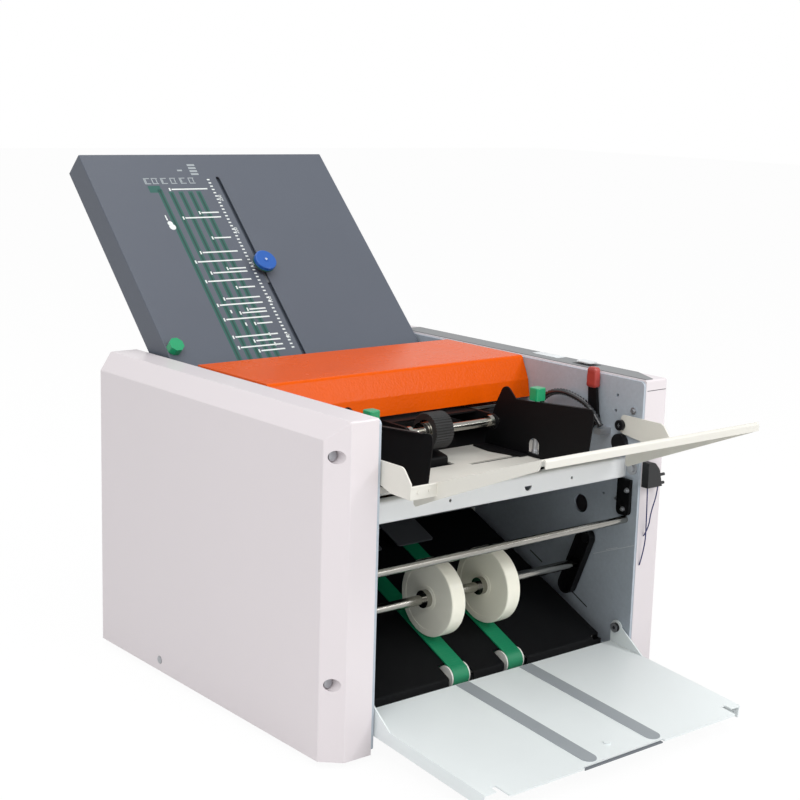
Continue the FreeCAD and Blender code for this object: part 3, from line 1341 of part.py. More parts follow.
def tray_rails():
    """Two rails under the tray that hold its extension, drawn level."""
    left, right = EXTEND_X
    low = -SHEET - GAP - EXTEND_T - GAP - RAIL_T
    shapes = []
    for edge, lip in ((right + GAP, -4.0), (left - GAP, 4.0)):
        outward = RAIL_T if lip < 0 else -RAIL_T
        web = sorted((edge, edge + outward))
        foot = sorted((edge + outward, edge + lip))
        shapes.append(block(tuple(web), (-TRAY_LONG + 6, -EXTEND_REAR - 10), (low, -SHEET / 2)))
        shapes.append(block(tuple(foot), (-TRAY_LONG + 6, -EXTEND_REAR - 10), (low, low + RAIL_T)))
    return shapes


def tray_ear():
    """Upright ear with the hinge bore, on the right."""
    y, z = TRAY_HINGE
    edge = TRAY_HALF
    ear = prism([(y + TRAY_EAR_R, z), (y + TRAY_EAR_R - 0.2, TRAY_Z - 1), (y - 38, TRAY_Z - 4),
                 (y - TRAY_EAR_R, z + 1), (y - 3, z + TRAY_EAR_R - 0.6)], "yz", edge - SHEET, edge)
    return ear.fuse(rod(TRAY_HINGE, TRAY_EAR_R, edge - SHEET, edge))


def tray_screw():
    """Stop screw of the extension with its nut under the tray."""
    x, along = EXTEND_SCREW
    head = post(x, -along, 3.6, -SHEET / 2, 1.4)
    nut_top = -SHEET - EXTEND_T - 2 * GAP
    nut = post(x, -along, 3.4, nut_top - 2.5, nut_top)
    return in_tray(joined([head, post(x, -along, 2.0, nut_top - 1, 0), nut]))


def exit_tray():
    """Exit tray that catches the folded sheets."""
    level = tray_sheet() + tray_rails()
    shape = joined([in_tray(part) for part in level] + [tray_ear(), mirrored(tray_ear())])
    shape = joined([shape, tray_screw()])
    return shape.cut(rod(TRAY_HINGE, TRAY_HINGE_R + RUN, -TRAY_HALF - 1, TRAY_HALF + 1))


def tray_extension():
    """Pull-out stop sheet under the tray."""
    left, right = EXTEND_X
    high = -SHEET - GAP
    sheet = block((left, right), (-TRAY_LONG + 0.5, -EXTEND_REAR), (high - EXTEND_T, high))
    x, along = EXTEND_SCREW
    slot = block((x - 2.5, x + 2.5), (-along - 2.5, -along + EXTEND_TRAVEL + 2.5), (-20, 5))
    return in_tray(sheet.cut(slot))


def tray_pins():
    """Shoulder screws in the frames that the tray turns on."""
    shank = rod(TRAY_HINGE, TRAY_HINGE_R, TRAY_HALF - SHEET - 1, FRAME_INNER)
    head = rod(TRAY_HINGE, 5.0, TRAY_HALF - SHEET - GAP - 3, TRAY_HALF - SHEET - GAP)
    return both(shank.fuse(head))


# ---- electrics and small parts ---------------------------------------------------------------
def sensor_block():
    """Black connector block on the front of the right cover."""
    left = FRAME_OUTER + 1
    right = left + SENSOR_WIDE
    profile = [(left, SENSOR_LOW), (right, SENSOR_LOW), (right - 5, SENSOR_TOP - 8, 12),
               (right - 13, SENSOR_TOP, 6), (left, SENSOR_TOP)]
    body = prism(profile, "xz", -SENSOR_DEEP, 0.0)
    stubs = [Part.makeCylinder(1.6, 14, Vector(right - 7, -SENSOR_DEEP / 2, z), Vector(1, 0, 0))
             for z in (SENSOR_LOW + 11.0, SENSOR_LOW + 2.0)]
    return joined([body] + stubs)


def soft_tube(points, radius):
    """Tube along straight runs joined by tangent arcs."""
    runs = [(points[index + 1] - points[index]).Length for index in range(len(points) - 1)]
    edges = []
    last = points[0]
    for index in range(1, len(points) - 1):
        here = points[index]
        back = (points[index - 1] - here).normalize()
        ahead = (points[index + 1] - here).normalize()
        half = back.getAngle(ahead) / 2
        short = min(runs[index - 1], runs[index])
        reach = 0.45 * short
        bend = reach * math.tan(half)
        print("arc radius", round(bend, 1))
        middle = (back + ahead).normalize()
        crown = here + middle * (bend / math.sin(half) - bend)
        start = here + back * reach
        end = here + ahead * reach
        edges.append(Part.LineSegment(last, start).toShape())
        edges.append(Part.Arc(start, crown, end).toShape())
        last = end
    edges.append(Part.LineSegment(last, points[-1]).toShape())
    path = Part.Wire(edges)
    start_way = points[1] - points[0]
    section = Part.Wire(Part.makeCircle(radius, points[0], start_way))
    tube = path.makePipeShell([section], True, False)
    print("tube", round(tube.Volume, 2), "section times length",
          round(math.pi * radius * radius * path.Length, 2))
    return tube


def hanging_wire(route):
    """Thin lead that hangs from the connector block along (x, z) points."""
    points = [Vector(x, WIRE_Y, z) for x, z in route]
    points[-1].y = WIRE_END_Y
    return soft_tube(points, WIRE_R)


def wire_loom():
    """Loom that arches between two glands on the right frame."""
    return soft_tube([Vector(LOOM_X, y, z) for y, z in LOOM_ROUTE], LOOM_R)


def loom_glands():
    """Glands on the right frame that the loom goes into."""
    glands = []
    for (y, z), drop in zip((LOOM_ROUTE[0], LOOM_ROUTE[-1]), GLAND_DROPS):
        top = z - drop
        glands.append(block((LOOM_X - GLAND_HALF, FRAME_INNER), (y - GLAND_HALF, y + GLAND_HALF),
                            (top - GLAND_HIGH, top)))
    return glands


# ---- all nodes ---------------------------------------------------------------------------------
def casing_parts():
    """Covers, frames, floor and electrics."""
    shell = cover_shell()
    pins = [hinge_pins(), hook_pins(), lever_stud(), arm_pins(), tray_pins()]
    return {
        "left_cover": mirrored(shell), "right_cover": right_cover(), "control_housing": control_housing(),
        "control_panel": control_panel(), "start_key": key(),
        "cover_screws": cover_screws(), "left_frame": mirrored(frame_plate(False)),
        "right_frame": frame_plate(True), "base_plate": base_plate(), "feet": feet(),
        "back_panel": back_panel(), "inlet_module": inlet_module(), "switch_rocker": switch_rocker(),
        "front_beam": front_beam(), "cross_bars": group([tie_bar(), rest_bars()]),
        "tie_plates": tie_plates(), "frame_fittings": group(frame_screws() + loom_glands()),
        "pivot_pins": group(pins),
        "sensor_block": sensor_block(), "sensor_wire_long": hanging_wire(LONG_WIRE),
        "sensor_wire_short": hanging_wire(SHORT_WIRE), "wire_loom": wire_loom(),
    }


def folding_parts():
    """Top cover, fold plates, rollers and their drive."""
    pulleys = {0: pulley(ROLLERS[0], FEED_PULLEY_R, -FEED_BELT_IN - BELT_WIDE, ROLLER_SHAFT_R),
               1: pulley(ROLLERS[1], DRIVE_PULLEY_R, -DRIVE_IN - BELT_WIDE, ROLLER_SHAFT_R),
               2: pulley(ROLLERS[2], DELIVERY_PULLEY_R, DRIVE_IN, ROLLER_SHAFT_R)}
    parts = {
        "top_cover": top_cover(), "fold_plate": fold_plate(),
        "fold_plate_back": joined([paper_sheet(), plate_back()]), "fold_stop": fold_stop(),
        "stop_knob": stop_knob(), "clamp_knob": clamp_knob(), "lower_fold_plate": lower_fold_plate(),
        "lower_fold_stop": lower_stop(), "roller_bearings": bearings(), "motor": motor(),
    }
    for index in range(len(ROLLERS)):
        pieces = [fold_roller(index), roller_gear(index)]
        if index in pulleys:
            pieces.append(pulleys[index])
        parts["fold_roller_" + str(index + 1)] = joined(pieces)
    motor_wheel = pulley(MOTOR_AT, MOTOR_PULLEY_R, -DRIVE_IN - BELT_WIDE, MOTOR_SHAFT_R)
    parts["motor_pulley"] = joined([motor_shaft(), motor_wheel])
    parts["drive_belts"] = group([
        belt(MOTOR_AT, MOTOR_PULLEY_R, ROLLERS[1], DRIVE_PULLEY_R, -DRIVE_IN - BELT_WIDE),
        belt(HEAD_SHAFT, FEED_PULLEY_R, ROLLERS[0], FEED_PULLEY_R, -FEED_BELT_IN - BELT_WIDE),
        belt(REAR_PULLEY, DELIVERY_PULLEY_R, ROLLERS[2], DELIVERY_PULLEY_R, DRIVE_IN)])
    return parts


def feeding_parts():
    """Feed head, separator, feed table, side guides and lever."""
    guide = side_guide()
    knob = guide_knob()
    head_wheel = pulley(HEAD_SHAFT, FEED_PULLEY_R, -FEED_BELT_IN - BELT_WIDE, HEAD_SHAFT_R)
    return {
        "head_shaft": joined([head_shaft(), head_wheel]), "head_arm": head_arm(),
        "feed_roller": feed_tyre(), "feed_shaft": joined([feed_shaft(), feed_hub()] + feed_collars()),
        "separator_bar": separator(), "feed_table": feed_table(), "right_guide": guide,
        "left_guide": mirrored(guide), "right_guide_knob": knob, "left_guide_knob": mirrored(knob),
        "lever_stem": lever_stem(), "lever_grip": lever_grip(),
    }


def delivery_parts():
    """Delivery deck, belts, nip wheels and exit tray."""
    return {
        "deck": deck(), "delivery_belts": straps(),
        "front_pulleys": joined([front_axle()] + strap_pulleys(FRONT_PULLEY)),
        "rear_pulleys": joined([rear_axle(), rear_wheel()] + strap_pulleys(REAR_PULLEY)),
        "nip_wheels": group([nip_wheel(x) for x in WHEEL_X]),
        "nip_shaft": joined([wheel_shaft()] + wheel_collars()), "swing_arms": swing_arms(),
        "delivery_guide": delivery_guide(), "exit_tray": exit_tray(), "tray_extension": tray_extension(),
    }


def all_parts():
    """Every node of the machine, named and in its place."""
    parts = casing_parts()
    for more in (folding_parts(), feeding_parts(), delivery_parts()):
        parts.update(more)
    return parts


def main():
    """Centre the machine over the origin and write one STEP file per node."""
    os.makedirs("parts", exist_ok=True)
    parts = all_parts()
    front = min(shape.BoundBox.YMin for shape in parts.values())
    rear = max(shape.BoundBox.YMax for shape in parts.values())
    low = min(shape.BoundBox.ZMin for shape in parts.values())
    shift = Vector(0, -(front + rear) / 2, -low)
    print("shift", round(shift.y, 4), round(shift.z, 4), "nodes", len(parts))
    for name, shape in parts.items():
        moved = shape.copy()
        moved.translate(shift)
        print(name, "valid", shape.isValid(), "solids", len(shape.Solids),
              "volume", round(shape.Volume / 1000, 2))
        moved.exportStep("parts/" + name + ".step")


main()
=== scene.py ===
"""Dress, light and frame a desk paper folding machine."""

import logging
import math
from dataclasses import dataclass, field
from enum import Enum

import bmesh
import bpy
from mathutils import Matrix, Vector

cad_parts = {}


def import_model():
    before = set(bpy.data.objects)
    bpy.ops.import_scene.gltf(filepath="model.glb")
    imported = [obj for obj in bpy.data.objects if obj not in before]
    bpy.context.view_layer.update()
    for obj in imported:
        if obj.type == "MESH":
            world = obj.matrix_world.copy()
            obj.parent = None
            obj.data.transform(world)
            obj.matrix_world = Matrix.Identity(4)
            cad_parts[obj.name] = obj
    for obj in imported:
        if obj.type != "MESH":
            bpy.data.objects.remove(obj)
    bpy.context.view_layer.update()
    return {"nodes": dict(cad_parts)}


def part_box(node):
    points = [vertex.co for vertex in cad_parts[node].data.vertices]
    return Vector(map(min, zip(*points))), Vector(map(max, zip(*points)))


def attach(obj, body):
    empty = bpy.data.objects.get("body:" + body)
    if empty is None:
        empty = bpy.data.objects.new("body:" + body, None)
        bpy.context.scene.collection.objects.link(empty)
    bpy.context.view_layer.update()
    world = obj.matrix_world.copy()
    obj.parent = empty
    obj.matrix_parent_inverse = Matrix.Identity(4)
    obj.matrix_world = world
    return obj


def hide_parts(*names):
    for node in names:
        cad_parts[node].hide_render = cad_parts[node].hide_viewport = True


LOG = logging.getLogger("folding_machine")
MM = 0.001
FOLD_PLATE = (360.5, 314.0, 45.7)  # foot of the upper fold plate's face in y and z, and its tilt

Color = tuple[float, float, float]
Point = tuple[float, float, float]


def tone(red: int, green: int, blue: int) -> Color:
    """Turn a colour as seen on a screen into linear light.

    Args:
        red: 0 to 255.
        green: 0 to 255.
        blue: 0 to 255.

    Returns:
        The linear colour.
    """
    parts = [channel / 255 for channel in (red, green, blue)]
    linear = [c / 12.92 if c <= 0.04045 else ((c + 0.055) / 1.055) ** 2.4 for c in parts]
    return linear[0], linear[1], linear[2]


# ---- shader tools ---------------------------------------------------------------
class Sock:
    """One value in a node tree, so that shader maths reads as Python."""

    def __init__(self, tree: "Tree", out: bpy.types.NodeSocket) -> None:
        """Remember the socket and its tree."""
        self.tree = tree
        self.out = out

    def maths(self, operation: str, first: "Sock | float", second: "Sock | float") -> "Sock":
        """Add a Math node and return its value."""
        return self.tree.add("ShaderNodeMath", {"operation": operation}, {0: first, 1: second})

    def __add__(self, other: "Sock | float") -> "Sock":
        """Sum."""
        return self.maths("ADD", self, other)

    def __radd__(self, other: float) -> "Sock":
        """Sum with a number first."""
        return self.maths("ADD", other, self)

    def __sub__(self, other: "Sock | float") -> "Sock":
        """Difference."""
        return self.maths("SUBTRACT", self, other)

    def __rsub__(self, other: float) -> "Sock":
        """Difference with a number first."""
        return self.maths("SUBTRACT", other, self)

    def __mul__(self, other: "Sock | float") -> "Sock":
        """Product."""
        return self.maths("MULTIPLY", self, other)

    def __rmul__(self, other: float) -> "Sock":
        """Product with a number first."""
        return self.maths("MULTIPLY", other, self)

    def over(self, limit: float) -> "Sock":
        """One where the value is above the limit, else zero."""
        return self.maths("GREATER_THAN", self, limit)


class Tree:
    """Node tree of one material with its main shader."""

    def __init__(self, name: str) -> None:
        """Make the material and clear its tree."""
        self.material = bpy.data.materials.new(name)
        self.material.use_nodes = True
        self.nodes = self.material.node_tree.nodes
        self.links = self.material.node_tree.links
        self.nodes.clear()
        self.shader = self.nodes.new("ShaderNodeBsdfPrincipled")
        self.end = self.nodes.new("ShaderNodeOutputMaterial")
        self.links.new(self.shader.outputs[0], self.end.inputs[0])

    def add(self, kind: str, settings: dict, values: dict, out: int | str = 0) -> Sock:
        """Add any node.

        Args:
            kind: Blender's node type.
            settings: Attributes set first; "stops" fills a colour ramp.
            values: Numbers, colours or Socks by socket name or number.
            out: Name or number of the output that is returned.

        Returns:
            The wanted output.
        """
        node = self.nodes.new(kind)
        for key, value in settings.items():
            if key == "stops":
                self.fill_ramp(node, value)
            else:
                setattr(node, key, value)
        for key, value in values.items():
            if isinstance(value, Sock):
                self.links.new(value.out, node.inputs[key])
            else:
                node.inputs[key].default_value = value
        return Sock(self, node.outputs[out])

    def fill_ramp(self, node: bpy.types.Node, stops: list[tuple[float, float]]) -> None:
        """Set the grey stops of a colour ramp."""
        ramp = node.color_ramp.elements
        while len(ramp) < len(stops):
            ramp.new(0.5)
        for element, (spot, level) in zip(ramp, stops):
            element.position = spot
            element.color = (level, level, level, 1.0)

    def place(self, stretch: Point = (1.0, 1.0, 1.0), turn: Point = (0.0, 0.0, 0.0)) -> Sock:
        """Object coordinates, stretched and turned."""
        spot = self.add("ShaderNodeTexCoord", {}, {}, "Object")
        return self.add("ShaderNodeMapping", {}, {"Vector": spot, "Scale": stretch, "Rotation": turn})

    def noise(self, at: Sock, scale: float, detail: float = 2.0, rough: float = 0.5) -> Sock:
        """Cloudy noise from 0 to 1."""
        values = {"Vector": at, "Scale": scale, "Detail": detail, "Roughness": rough}
        return self.add("ShaderNodeTexNoise", {}, values, 0)

    def cells(self, at: Sock, scale: float) -> Sock:
        """Distance to the nearest cell centre, smoothed."""
        return self.add("ShaderNodeTexVoronoi", {"feature": "SMOOTH_F1"},
                        {"Vector": at, "Scale": scale, "Smoothness": 0.7}, "Distance")

    def ramp(self, value: Sock, stops: list[tuple[float, float]]) -> Sock:
        """Remap a value through grey stops."""
        return self.add("ShaderNodeValToRGB", {"stops": stops}, {0: value})

    def mix(self, factor: Sock | float, first: Color | Sock, second: Color | Sock) -> Sock:
        """Blend two colours."""
        node = {"data_type": "RGBA"}
        values = {0: factor, 6: self.rgba(first), 7: self.rgba(second)}
        return self.add("ShaderNodeMix", node, values, 2)

    def rgba(self, color: Color | Sock) -> Sock | tuple[float, float, float, float]:
        """Give a plain colour its fourth number."""
        return color if isinstance(color, Sock) else (*color, 1.0)

    def bump(self, height: Sock, strength: float, distance: float) -> Sock:
        """Normal from a height."""
        return self.add("ShaderNodeBump", {}, {"Strength": strength, "Distance": distance,
                                               "Height": height})

    def feed(self, **values: object) -> bpy.types.Material:
        """Fill the main shader, with _ standing for a space, and return the material."""
        for key, value in values.items():
            socket = self.shader.inputs[key.replace("_", " ")]
            if isinstance(value, Sock):
                self.links.new(value.out, socket)
            else:
                socket.default_value = (*value, 1.0) if isinstance(value, tuple) else value
        return self.material


# ---- finishes -------------------------------------------------------------------
@dataclass(frozen=True)
class Finish:
    """Paint or plastic with cloudy colour, uneven gloss and a fine grain."""

    name: str
    color: Color
    roughness: float = 0.42
    metallic: float = 0.0
    coat: float = 0.0
    cloud: float = 0.05
    cloud_size: float = 9.0
    grain: float = 0.12
    grain_size: float = 700.0
    dust: float = 0.0
    specular: float = 0.5

    def shade(self, amount: float) -> Color:
        """The colour made darker or lighter by a share."""
        return tuple(min(1.0, channel * (1.0 + amount)) for channel in self.color)

    def height(self, tree: Tree, at: Sock) -> Sock:
        """Fine surface relief."""
        return tree.noise(at, self.grain_size, 2.0, 0.55)

    def build(self) -> bpy.types.Material:
        """Make the material."""
        tree = Tree(self.name)
        at = tree.place()
        cloud = tree.noise(at, self.cloud_size, 4.0, 0.6)
        tint = tree.mix(cloud, self.shade(-self.cloud), self.shade(self.cloud))
        if self.dust:
            fleck = tree.noise(at, 2600.0, 1.0, 0.5).over(0.72) * self.dust
            tint = tree.mix(fleck, tint, (0.75, 0.76, 0.78))
        gloss = self.roughness + (cloud - 0.5) * 0.12
        normal = tree.bump(self.height(tree, at), self.grain, 0.0004)
        return tree.feed(Base_Color=tint, Roughness=gloss, Metallic=self.metallic,
                         Coat_Weight=self.coat, Coat_Roughness=0.08, Normal=normal,
                         Specular_IOR_Level=self.specular)


@dataclass(frozen=True)
class Hammered(Finish):
    """Thick enamel with a pebbled skin."""

    def height(self, tree: Tree, at: Sock) -> Sock:
        """Round pebbles with a little ripple."""
        return tree.cells(at, self.grain_size) * 0.8 + tree.noise(at, 60.0, 2.0) * 0.5


@dataclass(frozen=True)
class Plated(Finish):
    """Zinc plate with dark and light specks, rolled marks and handling stains."""

    speck: Color = (0.1, 0.1, 0.1)

    def build(self) -> bpy.types.Material:
        """Make the material."""
        tree = Tree(self.name)
        at = tree.place()
        spangle = tree.noise(at, 240.0, 3.0, 0.65)
        stain = tree.noise(at, 14.0, 5.0, 0.6)
        specks = tree.ramp(tree.noise(at, 900.0, 2.0, 0.6), [(0.0, 1.0), (0.36, 0.0), (1.0, 0.0)])
        base = tree.mix(spangle, self.shade(-0.14), self.shade(0.12))
        base = tree.mix(tree.ramp(stain, [(0.35, 0.0), (0.75, 0.35)]), base, self.shade(-0.3))
        base = tree.mix(specks * 0.5, base, self.speck)
        gloss = self.roughness + (stain - 0.5) * 0.25
        normal = tree.bump(spangle, self.grain, 0.0003)
        return tree.feed(Base_Color=base, Roughness=gloss, Metallic=self.metallic, Normal=normal)


@dataclass(frozen=True)
class Turned(Finish):
    """Turned or drawn metal with marks along one direction."""

    along: Point = (6.0, 900.0, 900.0)

    def build(self) -> bpy.types.Material:
        """Make the material."""
        tree = Tree(self.name)
        marks = tree.noise(tree.place(self.along), 1.0, 4.0, 0.6)
        cloud = tree.noise(tree.place(), self.cloud_size, 3.0)
        tint = tree.mix(marks, self.shade(-0.22), self.shade(0.15))
        gloss = self.roughness + (marks - 0.5) * 0.2 + (cloud - 0.5) * 0.1
        normal = tree.bump(marks, self.grain, 0.0002)
        return tree.feed(Base_Color=tint, Roughness=gloss, Metallic=self.metallic, Normal=normal)


@dataclass(frozen=True)
class Woven(Finish):
    """Belt with a fine cloth weave under its coating."""

    def height(self, tree: Tree, at: Sock) -> Sock:
        """Crossed threads."""
        warp = tree.add("ShaderNodeTexWave", {"bands_direction": "X"}, {"Vector": at, "Scale": 260.0})
        weft = tree.add("ShaderNodeTexWave", {"bands_direction": "Z"}, {"Vector": at, "Scale": 260.0})
        return warp * weft + tree.noise(at, 500.0, 2.0) * 0.4


class Stock(Enum):
    """Every finish on the machine, with the record's slot it belongs to."""

    COVER = Finish("cover_paint", tone(223, 216, 219), 0.34, coat=0.15, cloud=0.02, cloud_size=4.0,
                   grain=0.05, grain_size=420.0)
    TRIM_WHITE = Finish("trim_white", tone(232, 232, 236), 0.36, cloud=0.03, grain=0.06)
    TABLE = Finish("table_white", tone(220, 218, 210), 0.38, cloud=0.05, cloud_size=22.0, grain=0.07)
    BEAM = Finish("beam_white", tone(232, 234, 235), 0.42, cloud=0.05, grain=0.06)
    TRAY = Finish("tray_paint", tone(230, 236, 237), 0.36, cloud=0.03, cloud_size=12.0, grain=0.06)
    ORANGE = Hammered("orange_enamel", tone(222, 86, 0), 0.27, cloud=0.06, grain=0.55,
                      grain_size=420.0, specular=0.08)
    SLATE = Finish("slate_paint", tone(82, 88, 99), 0.42, cloud=0.06, cloud_size=7.0, grain=0.25,
                   grain_size=1400.0, dust=0.10)
    BLACK = Finish("black_enamel", tone(9, 9, 11), 0.56, cloud=0.12, grain=0.2, dust=0.02, specular=0.16)
    DECK = Finish("deck_black", tone(6, 7, 9), 0.7, cloud=0.25, cloud_size=16.0, grain=0.35,
                  grain_size=900.0, dust=0.06, specular=0.14)
    BLACK_PLASTIC = Finish("black_plastic", tone(26, 26, 28), 0.5, cloud=0.08, grain=0.3)
    PANEL = Finish("panel_grey", tone(128, 130, 132), 0.5, cloud=0.04, grain=0.1)
    KEY = Finish("key_pale", tone(222, 226, 228), 0.45, cloud=0.03, grain=0.1)
    FRAME = Plated("frame_plate", tone(186, 195, 205), 0.5, metallic=0.25, grain=0.15,
                   speck=tone(84, 88, 96))
    STEEL = Turned("screw_steel", tone(176, 178, 182), 0.34, metallic=0.7, grain=0.25)
    SHAFT = Turned("bright_shaft", tone(162, 160, 154), 0.18, metallic=1.0, grain=0.15,
                   along=(40.0, 300.0, 300.0))
    DARK_STEEL = Turned("dark_steel", tone(34, 34, 37), 0.34, metallic=0.6, grain=0.25)
    GREY_SHEET = Turned("grey_sheet", tone(118, 122, 128), 0.42, metallic=0.5, grain=0.12)
    STRIP = Finish("slide_strip", tone(152, 158, 163), 0.5, cloud=0.05, grain=0.1)
    CREAM = Finish("cast_cream", tone(250, 248, 232), 0.3, coat=0.1, cloud=0.04, cloud_size=30.0,
                   grain=0.12, grain_size=300.0)
    PULLEY = Finish("pulley_white", tone(228, 228, 222), 0.4, cloud=0.04, grain=0.1)
    BELT = Woven("belt_green", tone(6, 130, 88), 0.5, cloud=0.10, cloud_size=24.0, grain=0.4)
    RUBBER = Finish("black_rubber", tone(24, 24, 25), 0.62, cloud=0.15, grain=0.4, dust=0.12)
    ROLLER = Finish("roller_rubber", tone(70, 70, 72), 0.6, cloud=0.08, grain=0.3)
    GREEN_KNOB = Finish("knob_green", tone(14, 150, 98), 0.3, coat=0.2, cloud=0.06, grain=0.08)
    BLUE_KNOB = Finish("knob_blue", tone(8, 84, 170), 0.28, coat=0.25, cloud=0.05, grain=0.06)
    RED_GRIP = Finish("grip_red", tone(172, 62, 55), 0.36, coat=0.1, cloud=0.05, grain=0.08)
    LEAD = Finish("lead_blue", tone(28, 34, 92), 0.45, cloud=0.05, grain=0.1)
    BRONZE = Turned("sintered_bronze", tone(160, 122, 74), 0.45, metallic=0.8, grain=0.2)
    MOTOR = Finish("motor_grey", tone(84, 86, 90), 0.45, cloud=0.06, grain=0.15)
    INK_WHITE = Finish("ink_white", tone(222, 228, 226), 0.55, cloud=0.04, grain=0.05)
    INK_GREEN = Finish("ink_green", tone(34, 88, 80), 0.55, cloud=0.06, grain=0.05)
    # Dark print, and painted shade in the frame's slits, the screw sockets and the housing's seam.
    DARK_INK_AND_SHADE = Finish("dark_ink_and_shade", tone(44, 46, 50), 0.6, cloud=0.06, grain=0.05)
    INK_CORE = Finish("ink_core", tone(14, 62, 54), 0.55, cloud=0.08, grain=0.05)
    INK_GREY = Finish("ink_grey", tone(160, 168, 172), 0.55, cloud=0.10, grain=0.05)
    LOOM = Finish("loom_plastic", tone(34, 35, 38), 0.26, coat=0.35, cloud=0.08, grain=0.1)
    SCRATCH = Finish("scratch_pale", tone(212, 216, 220), 0.4, metallic=0.3, cloud=0.08, grain=0.1)


class Palette:
    """Builds each material once."""

    made: dict[Stock, bpy.types.Material] = {}

    @classmethod
    def get(cls, stock: Stock) -> bpy.types.Material:
        """The material of a finish."""
        if stock not in cls.made:
            cls.made[stock] = stock.value.build()
        return cls.made[stock]


NODE_FINISH: dict[str, Stock] = {
    "left_cover": Stock.COVER, "right_cover": Stock.COVER, "control_housing": Stock.COVER,
    "control_panel": Stock.PANEL, "start_key": Stock.KEY, "cover_screws": Stock.STEEL,
    "left_frame": Stock.FRAME, "right_frame": Stock.FRAME, "base_plate": Stock.FRAME,
    "feet": Stock.RUBBER, "back_panel": Stock.TRIM_WHITE, "inlet_module": Stock.BLACK_PLASTIC,
    "switch_rocker": Stock.BLACK_PLASTIC, "front_beam": Stock.BEAM, "cross_bars": Stock.SHAFT,
    "tie_plates": Stock.BLACK, "frame_fittings": Stock.STEEL, "pivot_pins": Stock.DARK_STEEL,
    "sensor_block": Stock.BLACK_PLASTIC, "top_cover": Stock.ORANGE, "fold_plate": Stock.SLATE,
    "fold_plate_back": Stock.SLATE, "fold_stop": Stock.GREY_SHEET, "stop_knob": Stock.BLUE_KNOB,
    "clamp_knob": Stock.GREEN_KNOB, "lower_fold_plate": Stock.BLACK, "lower_fold_stop": Stock.GREY_SHEET,
    "roller_bearings": Stock.BRONZE, "motor": Stock.MOTOR, "fold_roller_1": Stock.ROLLER,
    "fold_roller_2": Stock.ROLLER, "fold_roller_3": Stock.ROLLER, "fold_roller_4": Stock.ROLLER,
    "motor_pulley": Stock.STEEL, "drive_belts": Stock.RUBBER, "head_shaft": Stock.SHAFT,
    "head_arm": Stock.BLACK, "feed_roller": Stock.RUBBER, "feed_shaft": Stock.SHAFT,
    "separator_bar": Stock.BLACK, "feed_table": Stock.TABLE, "right_guide": Stock.BLACK,
    "left_guide": Stock.BLACK, "right_guide_knob": Stock.GREEN_KNOB, "left_guide_knob": Stock.GREEN_KNOB,
    "lever_stem": Stock.BLACK, "deck": Stock.DECK,
    "delivery_belts": Stock.BELT, "front_pulleys": Stock.PULLEY, "rear_pulleys": Stock.PULLEY,
    "nip_wheels": Stock.CREAM, "nip_shaft": Stock.SHAFT, "swing_arms": Stock.BLACK,
    "delivery_guide": Stock.GREY_SHEET, "exit_tray": Stock.TRAY, "tray_extension": Stock.GREY_SHEET,
}


# ---- making pieces --------------------------------------------------------------
@dataclass
class Datum:
    """Where the covers' front lower edge lies, which every size is measured from."""

    front: float = 0.0
    low: float = 0.0

    def read(self) -> None:
        """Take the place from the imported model."""
        corner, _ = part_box("left_cover")
        self.front = corner.y
        self.low = corner.z

    def at(self, x: float, y: float, z: float) -> Vector:
        """A point in millimetres from the datum, in the row frame."""
        return Vector((x * MM, y * MM + self.front, z * MM + self.low))

    def slope(self, y: float, z: float, degrees: float) -> Matrix:
        """Matrix of a surface that starts at (y, z) and is turned about X."""
        return Matrix.Translation(self.at(0, y, z)) @ Matrix.Rotation(math.radians(degrees), 4, "X")

    def fold_plate(self) -> Matrix:
        """Matrix of the upper fold plate's face, with Y up along the slot."""
        return self.slope(*FOLD_PLATE)


DATUM = Datum()


